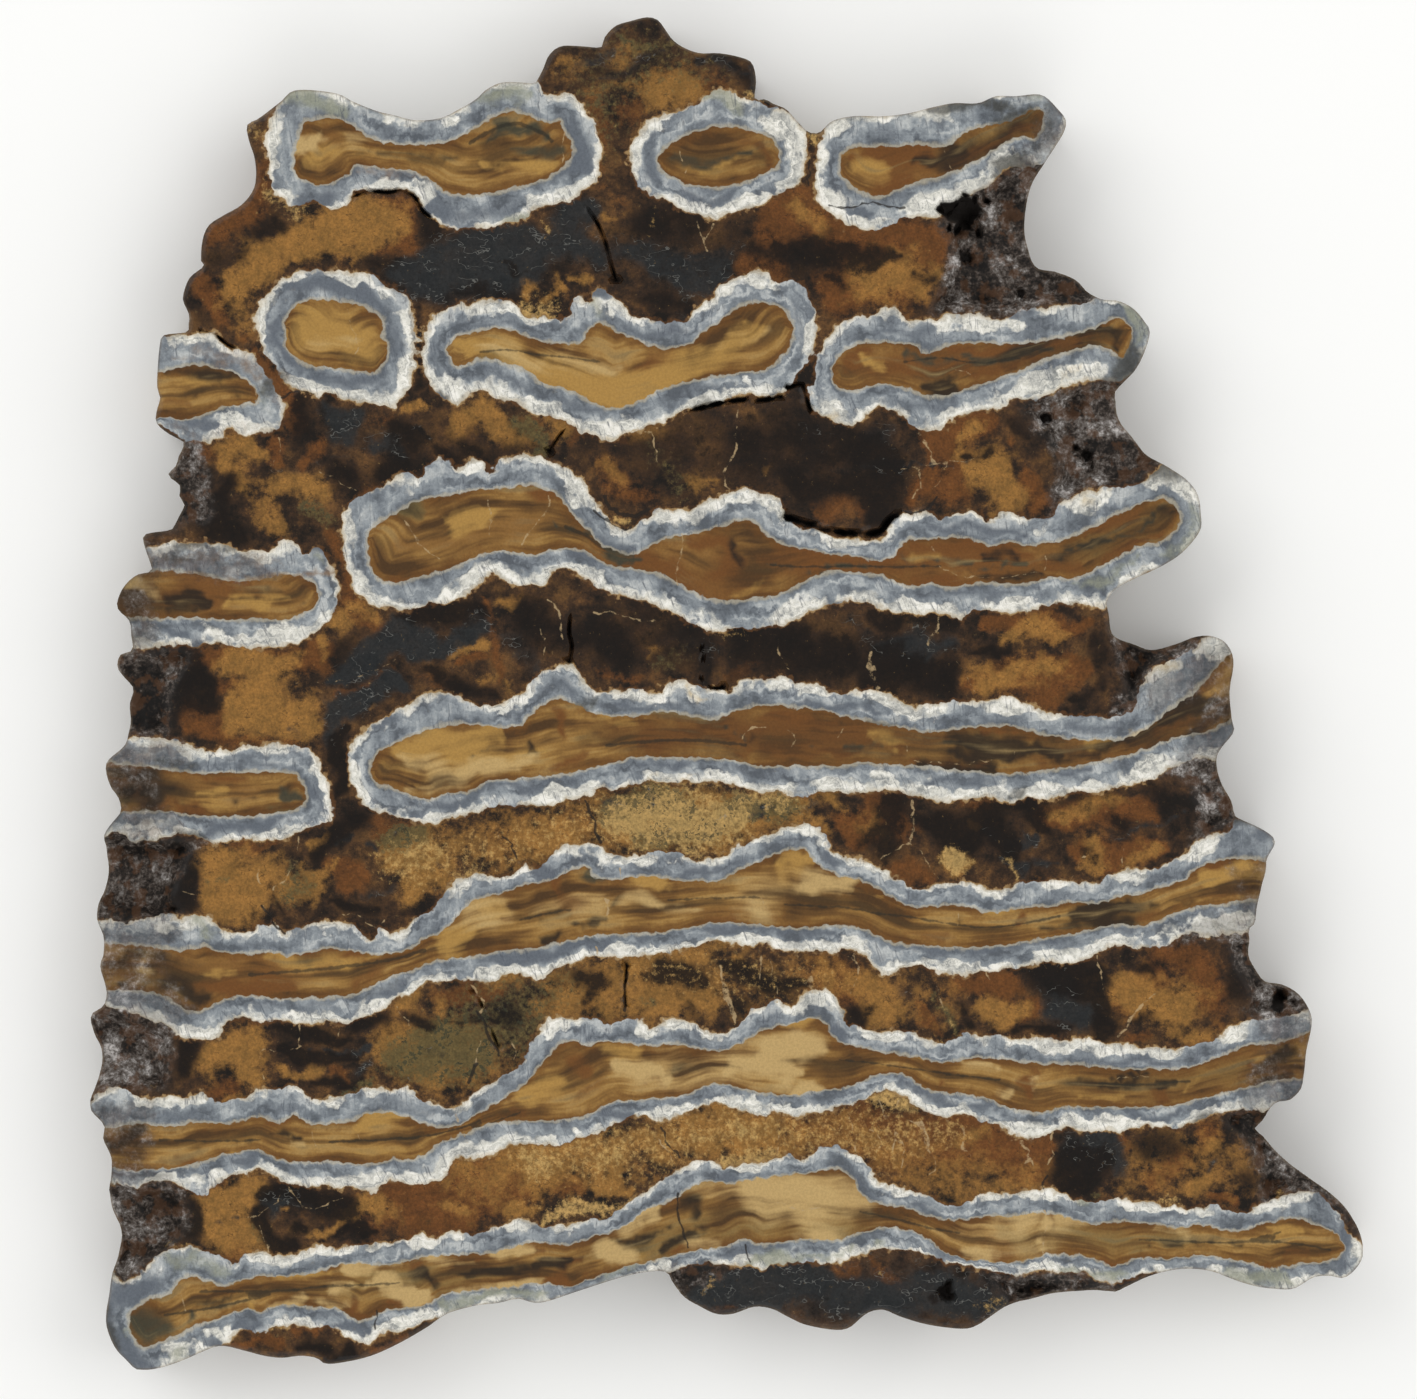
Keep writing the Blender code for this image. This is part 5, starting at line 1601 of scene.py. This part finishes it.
wandered = places + STAIN_WANDER * np.column_stack([
    swings(places, STAIN_WANDER_SIZE, seed) for seed in (3.0, 5.0)
])
left_unstained = {part_and_kind: np.ones(len(places)) for part_and_kind in STAINS}
for part_and_kind, strength, reach, path in stains_drawn():
    near = np.flatnonzero(((wandered > path.min(0) - reach) & (wandered < path.max(0) + reach)).all(1))
    spots = wandered[near]
    if len(path) == 1:
        path = np.vstack((path, path + SHORTEST_STAIN))
    distance, passed, run = np.full(len(near), 1e9), np.zeros(len(near)), 0.0
    for a, b in zip(path[:-1], path[1:]):
        along = b - a
        t = np.clip((spots - a) @ along / (along @ along), 0, 1)
        off = np.linalg.norm(spots - a - t[:, None] * along, axis=1)
        nearer = off < distance
        distance[nearer], passed[nearer] = off[nearer], run + t[nearer] * np.linalg.norm(along)
        run += np.linalg.norm(along)
    # A stain longer than its reach tapers towards its ends, and fully from four times as long.
    share = passed / run
    taper = np.clip((run / reach - 1) / 3, 0, 1) * STAIN_TAPER
    reaches = reach * (1 - taper * (1 - (4 * share * (1 - share)) ** STAIN_ROUNDING))
    left_unstained[part_and_kind][near] *= 1 - strength * smooth_step(1 - distance / reaches)


def nearest_edge(lines):
    """How far each place is past the edge of the nearest thin line, below 0 on the line."""
    passed = np.full(len(places), NEAR_LINE)
    for half_width, path in lines:
        near, off = off_line(places, path, NEAR_LINE)
        passed[near] = np.minimum(passed[near], off - half_width)
    return passed


on_side = np.zeros(len(places))
on_side[count:len(rings) * count] = 1
marks = {
    "enamel_depth": enamel_depth,
    "dentine_depth": dentine_depth,
    "across": across,
    "flow": flow,
    "crust": crust_share(places)[0],
    "dark_crack": nearest_edge(dark_cracks),
    "pale_crack": nearest_edge(pale_cracks),
    "dark_line": nearest_edge(dark_lines),
    "on_side": on_side,
    # How deep the gaps, pits and cracks sink into the top, which sets both their painted shade and their
    # roughness.
    "sunk": opening_depth(places) * (vertices[:, 2] > THICKNESS / 2),
}
marks.update({f"{part}_{kind}": 1 - left for (part, kind), left in left_unstained.items()})
# The marks are kept on the mesh by threes, because a render reads few attributes faster.
marks_in_order = list(marks)
for first in range(0, len(marks), 3):
    three = np.zeros((len(places), 3), np.float32)
    for column, name in enumerate(marks_in_order[first:first + 3]):
        three[:, column] = marks[name]
    kept = slice_mesh.attributes.new(f"marks_{first // 3}", "FLOAT_VECTOR", "POINT")
    kept.data.foreach_set("vector", three.ravel())

SHARP_FROM = math.radians(50)
for polygon in slice_mesh.polygons:
    polygon.use_smooth = True
slice_mesh.set_sharp_from_angle(angle=SHARP_FROM)

fossil_tooth = bpy.data.materials.new("fossil_tooth")
fossil_tooth.use_nodes = True
recipe = fossil_tooth.node_tree
recipe.nodes.clear()


def made(kind, inputs, **settings):
    """A node of the recipe with its settings, and its inputs set or joined to other nodes."""
    node = recipe.nodes.new("ShaderNode" + kind)
    for name, value in settings.items():
        setattr(node, name, value)
    for socket, value in inputs.items():
        if isinstance(value, bpy.types.NodeSocket):
            recipe.links.new(value, node.inputs[socket])
        else:
            node.inputs[socket].default_value = value
    return node


fetched = {}


def mark(name):
    """One of the mesh's marks."""
    third, column = divmod(marks_in_order.index(name), 3)
    if third not in fetched:
        three = made("Attribute", {}, attribute_name=f"marks_{third}").outputs["Vector"]
        fetched[third] = made("SeparateXYZ", {0: three}).outputs
    return fetched[third][column]


def calc(how, *values, clamp=False):
    """A sum, product or the like of two or three values."""
    return made("Math", dict(enumerate(values)), operation=how, use_clamp=clamp).outputs[0]


def rise(value, low, high, most=1.0):
    """0 below low, most above high and smooth between, or the other way round if low is the higher."""
    inputs = {"Value": value, "From Min": low, "From Max": high, "To Max": most}
    return made("MapRange", inputs, interpolation_type="SMOOTHSTEP").outputs[0]


def cloud(at, size, detail, rough=0.55, dimensions="2D"):
    """Soft noise from about 0.3 to 0.7, with lumps of the given size in millimetres.

    In 2D it runs straight down through the slice."""
    inputs = {"Vector": at, "Scale": 1 / size, "Detail": detail, "Roughness": rough}
    return made("TexNoise", inputs, noise_dimensions=dimensions).outputs["Fac"]


def off_lump(size):
    """How far each place is from the middle of the nearest of many lumps, as a share of their size."""
    inputs = {"Vector": at, "Scale": 1 / size}
    return made("TexVoronoi", inputs, feature="F1", voronoi_dimensions="2D").outputs["Distance"]


def tone(red, green, blue):
    """A colour as it looks on a screen, from 0 to 255, for a shader."""
    share = np.array((red, green, blue)) / 255
    linear = np.where(share <= 0.04045, share / 12.92, ((share + 0.055) / 1.055) ** 2.4)
    return (*linear.tolist(), 1.0)


def over(share, colour, base):
    """The base colour with another laid over it."""
    return made("Mix", {0: share, 6: base, 7: colour}, data_type="RGBA").outputs[2]


def shaded(value, *stops):
    """A colour that runs through the given stops as the value rises: a place and its colour each."""
    node = made("ValToRGB", {"Fac": value})
    while len(node.color_ramp.elements) < len(stops):
        node.color_ramp.elements.new(0.5)
    for element, (place, *colour) in zip(node.color_ramp.elements, stops):
        element.position, element.color = place, tone(*colour)
    return node.outputs["Color"]


def stretched(x, y):
    return made("CombineXYZ", {0: x, 1: y}).outputs[0]


metres = made("TexCoord", {}).outputs["Object"]
at = made("VectorMath", {0: metres, 1: (1000, 1000, 1000)}, operation="MULTIPLY").outputs[0]
apart = made("SeparateXYZ", {0: at}).outputs
wander = calc("SUBTRACT", cloud(at, 0.5, 3.0), 0.5)
specks = cloud(at, 0.18, 2.0, 0.75)
fine = calc("SUBTRACT", specks, 0.5)
broad = cloud(at, 3.2, 2.0)
middling = cloud(at, 1.3, 3.0, 0.6)
ragged = cloud(at, 0.85, 4.0, 0.72, "3D")
lumpy = calc("MULTIPLY", calc("SUBTRACT", 0.37, off_lump(0.59)), 0.24)
scallops = calc("MULTIPLY", calc("SUBTRACT", 0.37, off_lump(1.33)), 0.28)
into_plate = calc("ADD", calc("ADD", scallops, mark("enamel_depth")),
                  calc("MULTIPLY_ADD", wander, 0.30, lumpy))
into_dentine = calc("ADD", calc("MULTIPLY_ADD", fine, 0.10, mark("dentine_depth")),
                    calc("MULTIPLY_ADD", wander, 0.12, lumpy))
is_plate = rise(into_plate, -0.04, 0.04)
is_dentine = rise(into_dentine, -0.05, 0.04)


def uneven(texture, amount):
    """A texture made to swing about 0."""
    return calc("MULTIPLY_ADD", texture, amount, -0.5 * amount)


def blotched(part, kind, edge, low, high, most=0.94):
    """A stain's share, its edge broken up by an uneven texture."""
    return rise(calc("ADD", edge, mark(f"{part}_{kind}")), low, high, most)


def overlaid(share, pattern, base):
    """The base colour with a grey pattern that darkens and lightens it."""
    return made("Mix", {0: share, 6: base, 7: pattern}, data_type="RGBA", blend_type="OVERLAY").outputs[2]


# Cement: dark brown, mottled and stained.
crumbs = cloud(at, 0.42, 3.0, 0.74)
cement = shaded(calc("ADD", calc("MULTIPLY", broad, 0.45), calc("MULTIPLY", ragged, 0.55)),
                (0.37, 22, 16, 11), (0.45, 44, 31, 21), (0.53, 66, 46, 28), (0.62, 96, 68, 38))
ragged_edge, crumbly_edge = uneven(ragged, 1.6), uneven(crumbs, 1.4)
CEMENT_STAINS = (
    ("rust", ragged_edge, 0.14, tone(100, 62, 28)), ("gold", ragged_edge, 0.14, tone(142, 103, 51)),
    ("olive", crumbly_edge, 0.22, tone(92, 80, 48)), ("slate", ragged_edge, 0.18, tone(34, 37, 39)),
    ("dark", ragged_edge, 0.12, tone(16, 9, 5)), ("pale", crumbly_edge, 0.24, tone(172, 142, 88)),
)
for kind, edge, low, colour in CEMENT_STAINS:
    cement = over(blotched("cement", kind, edge, low, 0.80), colour, cement)
speckle = shaded(specks, (0.36, 92, 90, 86), (0.64, 220, 218, 214))
moss = calc("MULTIPLY", calc("MULTIPLY", rise(crumbs, 0.49, 0.55), rise(middling, 0.51, 0.56)),
            rise(mark("cement_olive"), 0.2, 0.7, 0.8))
cement = over(moss, tone(48, 50, 36), cement)
mottle = shaded(calc("ADD", calc("MULTIPLY", crumbs, 0.5), calc("MULTIPLY", middling, 0.5)),
                (0.38, 108, 112, 108), (0.62, 222, 212, 200))
cement = overlaid(0.24, speckle, overlaid(0.38, mottle, cement))
# Thin dark and pale veins that wander through the cement, and a rusty rim where it meets the enamel.
drift = cloud(stretched(calc("MULTIPLY", apart[0], 0.6), apart[1]), 1.5, 3.0, 0.62)
from_vein = calc("ABSOLUTE", calc("SUBTRACT", drift, 0.47))
vein = calc("MULTIPLY", rise(from_vein, 0.011, 0.0, 0.6), rise(middling, 0.46, 0.56))
cement = over(vein, tone(20, 15, 11), cement)
from_pale_vein = calc("ABSOLUTE", calc("SUBTRACT", drift, 0.53))
pale_vein = calc("MULTIPLY", rise(from_pale_vein, 0.012, 0.0, 0.5), rise(mark("cement_slate"), 0.1, 0.6))
cement = over(calc("MULTIPLY", pale_vein, rise(middling, 0.56, 0.44)), tone(124, 124, 118), cement)
to_enamel = calc("MULTIPLY_ADD", wander, 0.5, into_plate)
cement = over(rise(to_enamel, -0.26, -0.02, 0.6), tone(96, 62, 30), cement)
tan_edge = calc("MULTIPLY", rise(to_enamel, -0.16, 0.0), rise(broad, 0.42, 0.58))
cement = over(tan_edge, tone(150, 122, 82), cement)

# Enamel: a chalky cap on the cement side, a blue-grey body, and a thin pale line by the dentine.
through = calc("DIVIDE", into_plate, calc("SUBTRACT", into_plate, into_dentine), clamp=True)
layered = calc("ADD", through, calc("MULTIPLY", wander, 0.45))
cap = calc("ADD", calc("MULTIPLY_ADD", broad, 2.0, -0.84), calc(
    "SUBTRACT", calc("MULTIPLY", mark("enamel_pale"), 0.50), calc("MULTIPLY", mark("enamel_slate"), 0.55)))
cap = calc("ADD", rise(mark("across"), 0.6, 0.4, 0.16), cap)
along = calc("MULTIPLY_ADD", apart[1], 0.22, apart[0])
layers = cloud(stretched(calc("MULTIPLY", along, 0.36), calc("MULTIPLY", layered, 2.4)), 1.0, 2.0, 0.50)
prisms = cloud(stretched(calc("MULTIPLY_ADD", through, 0.5, calc("MULTIPLY", along, 1.4)),
                         calc("MULTIPLY", through, 0.4)), 1.0, 2.0, 0.55)
veiled = calc("MULTIPLY_ADD", prisms, 0.16, calc("MULTIPLY", layers, 0.50))
veiled = calc("MULTIPLY_ADD", middling, 0.22, veiled)
veiled = calc("ADD", veiled, calc("MULTIPLY_ADD", through, -0.11, 0.12))
leaves = cloud(stretched(calc("MULTIPLY", along, 0.55), calc("MULTIPLY", layered, 8.0)), 1.0, 2.0, 0.6)
enamel = shaded(veiled, (0.37, 84, 89, 95), (0.46, 112, 118, 124),
                (0.54, 139, 145, 149), (0.63, 178, 181, 180))
enamel = over(blotched("enamel", "slate", uneven(veiled, 1.2), 0.15, 0.85), tone(92, 98, 106), enamel)
leafy = calc("MULTIPLY", calc("ADD", veiled, leaves), 0.3)
chalk = shaded(calc("ADD", calc("MULTIPLY", ragged, 0.4), leafy),
               (0.40, 146, 147, 143), (0.46, 184, 183, 176), (0.52, 212, 210, 200), (0.59, 236, 233, 224))
chalk = over(rise(through, 0.16, 0.0, 0.5), tone(170, 150, 112), chalk)
from_cap = calc("SUBTRACT", layered, cap)
enamel = over(rise(from_cap, 0.12, -0.14, 0.95), chalk, enamel)
from_seam = calc("ABSOLUTE", calc("SUBTRACT", from_cap, 0.06))
seam = calc("MULTIPLY", rise(from_seam, 0.05, 0.0, 0.5), rise(ragged, 0.48, 0.60))
enamel = over(seam, tone(72, 77, 88), enamel)
enamel = over(rise(through, 0.84, 0.97, 0.55), tone(186, 176, 152), enamel)
ENAMEL_STAINS = (
    ("gold", tone(196, 174, 130)), ("rust", tone(124, 98, 72)),
    ("olive", tone(140, 142, 124)), ("dark", tone(58, 57, 52)),
)
broken_edge = uneven(ragged, 1.0)
for kind, colour in ENAMEL_STAINS:
    enamel = over(blotched("enamel", kind, broken_edge, 0.12, 0.85, 0.8), colour, enamel)
from_split = calc("ABSOLUTE", calc("SUBTRACT", prisms, 0.55))
has_split = rise(middling, 0.45, 0.60)
enamel = over(calc("MULTIPLY", rise(from_split, 0.05, 0.0, 0.35), has_split), tone(92, 97, 106), enamel)
enamel = over(calc("MULTIPLY", rise(from_split, 0.012, 0.002, 0.5), has_split), tone(70, 76, 84), enamel)
enamel = overlaid(0.14, speckle, enamel)

# Dentine: golden tan, streaked along the plate, browner beside the enamel and along its middle.
bend = calc("MULTIPLY", calc("SUBTRACT", broad, 0.5), 0.5)
level = calc("MULTIPLY_ADD", bend, 0.2, mark("flow"))
streaks = cloud(stretched(calc("MULTIPLY", along, 0.11), calc("MULTIPLY", level, 3.0)), 1.0, 3.0, 0.55)
fibres = cloud(stretched(calc("MULTIPLY", along, 0.20), calc("MULTIPLY", level, 10.0)), 1.0, 1.0, 0.6)
grain_of_it = calc("MULTIPLY_ADD", fibres, 0.16, calc("MULTIPLY", streaks, 0.58))
grain_of_it = calc("MULTIPLY_ADD", broad, 0.26, grain_of_it)
dentine = shaded(grain_of_it, (0.38, 72, 50, 26), (0.46, 106, 75, 37),
                 (0.54, 140, 105, 54), (0.63, 172, 137, 80))
off_middle = calc("ABSOLUTE", calc("SUBTRACT", mark("across"), 0.5))
middle = calc("MULTIPLY", rise(off_middle, 0.16, 0.0, 0.5), rise(streaks, 0.60, 0.42))
dentine = over(middle, tone(72, 56, 32), dentine)
browner = rise(calc("MULTIPLY_ADD", wander, 0.8, into_dentine), 0.75, 0.0, 0.62)
dentine = over(browner, tone(102, 66, 28), dentine)
DENTINE_STAINS = (
    ("rust", tone(104, 65, 29)), ("gold", tone(164, 127, 66)), ("olive", tone(96, 82, 50)),
    ("slate", tone(56, 56, 44)), ("dark", tone(36, 28, 20)), ("pale", tone(182, 153, 101)),
)
streaky_edge = uneven(grain_of_it, 2.1)
for kind, colour in DENTINE_STAINS:
    dentine = over(blotched("dentine", kind, streaky_edge, 0.12, 0.88), colour, dentine)
past_line = calc("MULTIPLY_ADD", wander, 0.25, mark("dark_line"))
dentine = over(rise(past_line, 0.07, -0.06, 0.7), tone(38, 36, 28), dentine)
dentine = overlaid(0.12, speckle, dentine)

polished = over(is_plate, over(is_dentine, dentine, enamel), cement)
broken = rise(ragged, 0.40, 0.54)
past_pale = calc("MULTIPLY_ADD", wander, 0.30, mark("pale_crack"))
pale_line = calc("MULTIPLY", rise(past_pale, -0.01, -0.09, 0.72), broken)
polished = over(pale_line, tone(172, 148, 110), polished)
past_dark = calc("MULTIPLY_ADD", wander, 0.22, mark("dark_crack"))
polished = over(rise(past_dark, 0.04, -0.04, 0.85), tone(30, 24, 19), polished)

# Crust: dark grey-brown crumbs with lilac-white ones among them.
grains = cloud(at, 0.36, 3.0, 0.78, "3D")
lumps = cloud(at, 2.3, 4.0, 0.68, "3D")
crust_grain = calc("MULTIPLY_ADD", grains, 0.40, calc("MULTIPLY", lumps, 0.60))
paler = calc("SUBTRACT", mark("cement_pale"), mark("cement_dark"))
crust_grain = calc("MULTIPLY_ADD", paler, 0.06, crust_grain)
crust = shaded(crust_grain, (0.41, 16, 13, 11), (0.47, 42, 35, 30), (0.52, 78, 70, 64),
               (0.57, 110, 105, 101), (0.65, 184, 179, 175))
crust = over(rise(middling, 0.50, 0.62, 0.5), tone(84, 56, 34), crust)
is_crust = mark("crust")
in_patches = rise(calc("ADD", uneven(ragged, 2.2), is_crust), 0.25, 0.85)
crust_cover = calc("MULTIPLY", rise(is_crust, 0.0, 0.3), in_patches)
crusted = over(calc("MULTIPLY", crust_cover, calc("MULTIPLY_ADD", is_plate, -0.55, 1.0)), crust, polished)

# The natural side: the same layers, weathered.
on_side = mark("on_side")
weather = shaded(calc("ADD", calc("MULTIPLY", lumps, 0.5), calc("MULTIPLY", ragged, 0.5)),
                 (0.32, 40, 33, 27), (0.48, 88, 74, 58), (0.60, 128, 114, 94), (0.72, 180, 172, 158))
weathered = over(0.55, weather, crusted)
finished = over(on_side, weathered, crusted)
# Painted shade: the face is darkened to near black where gaps, pits and cracks sink, as shade would fall in
# them.
painted_hollow_shade = rise(calc("MULTIPLY_ADD", wander, 0.7, mark("sunk")), 0.16, 0.60)
finished = over(painted_hollow_shade, tone(22, 18, 15), finished)

is_rough = calc("MAXIMUM", calc("MAXIMUM", is_crust, on_side), rise(mark("sunk"), 0.05, 0.2))
gloss = calc("ADD", 0.15, calc("MULTIPLY", middling, 0.14))
roughness = calc("ADD", gloss, calc("MULTIPLY", is_rough, 0.5), clamp=True)
shader = made("BsdfPrincipled", {
    "Base Color": finished, "Roughness": roughness, "IOR": 1.5, "Specular IOR Level": 0.2})
recipe.links.new(shader.outputs[0], made("OutputMaterial", {}).inputs[0])

slice_mesh.materials.append(fossil_tooth)
tooth_slice = bpy.data.objects.new("polished_tooth_slice", slice_mesh)
bpy.context.scene.collection.objects.link(tooth_slice)
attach(tooth_slice, "root")
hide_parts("tooth_slice")

# THE TABLE, LIGHT AND CAMERA
# A plain pale table top under large soft lamps that stand off to the sides, so that the polish
# shows no glare from above. The camera looks straight down.
TABLE_HALF = 1.5
TABLE_BELOW = 0.00005
STUDIO_STRENGTH = 0.72
table_mesh = bpy.data.meshes.new("table_top")
corners = [(-TABLE_HALF, -TABLE_HALF, 0), (TABLE_HALF, -TABLE_HALF, 0),
           (TABLE_HALF, TABLE_HALF, 0), (-TABLE_HALF, TABLE_HALF, 0)]
table_mesh.from_pydata(corners, [], [(0, 1, 2, 3)])
table_top = bpy.data.objects.new("table_top", table_mesh)
table_top.location.z = -TABLE_BELOW
bpy.context.scene.collection.objects.link(table_top)
matt_white_paper = bpy.data.materials.new("matt_white_paper")
matt_white_paper.use_nodes = True
paper = matt_white_paper.node_tree.nodes["Principled BSDF"].inputs
paper["Base Color"].default_value = tone(243, 243, 241)
paper["Roughness"].default_value = 0.9
table_mesh.materials.append(matt_white_paper)

studio = bpy.data.worlds.new("studio")
studio.use_nodes = True
studio.node_tree.nodes["Background"].inputs["Color"].default_value = (1.0, 1.0, 1.0, 1.0)
studio.node_tree.nodes["Background"].inputs["Strength"].default_value = STUDIO_STRENGTH
bpy.context.scene.world = studio


def lamp(name, place, size, power):
    """A square soft lamp that faces the slice."""
    light = bpy.data.lights.new(name, "AREA")
    light.shape = "SQUARE"
    light.size = size
    light.energy = power
    holder = bpy.data.objects.new(name, light)
    holder.location = place
    holder.rotation_euler = (Vector((0, 0, 0)) - Vector(place)).to_track_quat("-Z", "Y").to_euler()
    bpy.context.scene.collection.objects.link(holder)


lamp("window_lamp", (-0.60, 0.48, 0.55), 0.8, 3.0)
lamp("fill_lamp", (0.66, 0.12, 0.55), 0.8, 1.8)
lamp("near_lamp", (0.05, -0.72, 0.55), 0.8, 1.8)

LENS = 200
PLAN_SIZE = np.array((1417, 1399))
FRAME_WIDTH = PLAN_SIZE[0] * MM_PER_UNIT / 1000
FRAME_MIDDLE = (PLAN_SIZE / 2 - PLAN_MIDDLE) * (MM_PER_UNIT, -MM_PER_UNIT) / 1000
camera_settings = bpy.data.cameras.new("camera")
camera_settings.lens = LENS
camera_settings.clip_end = 10
camera = bpy.data.objects.new("camera", camera_settings)
camera.location = (*FRAME_MIDDLE, HIGHEST.z + FRAME_WIDTH * LENS / camera_settings.sensor_width)
bpy.context.scene.collection.objects.link(camera)
bpy.context.scene.camera = camera
bpy.context.scene.view_settings.view_transform = "Standard"
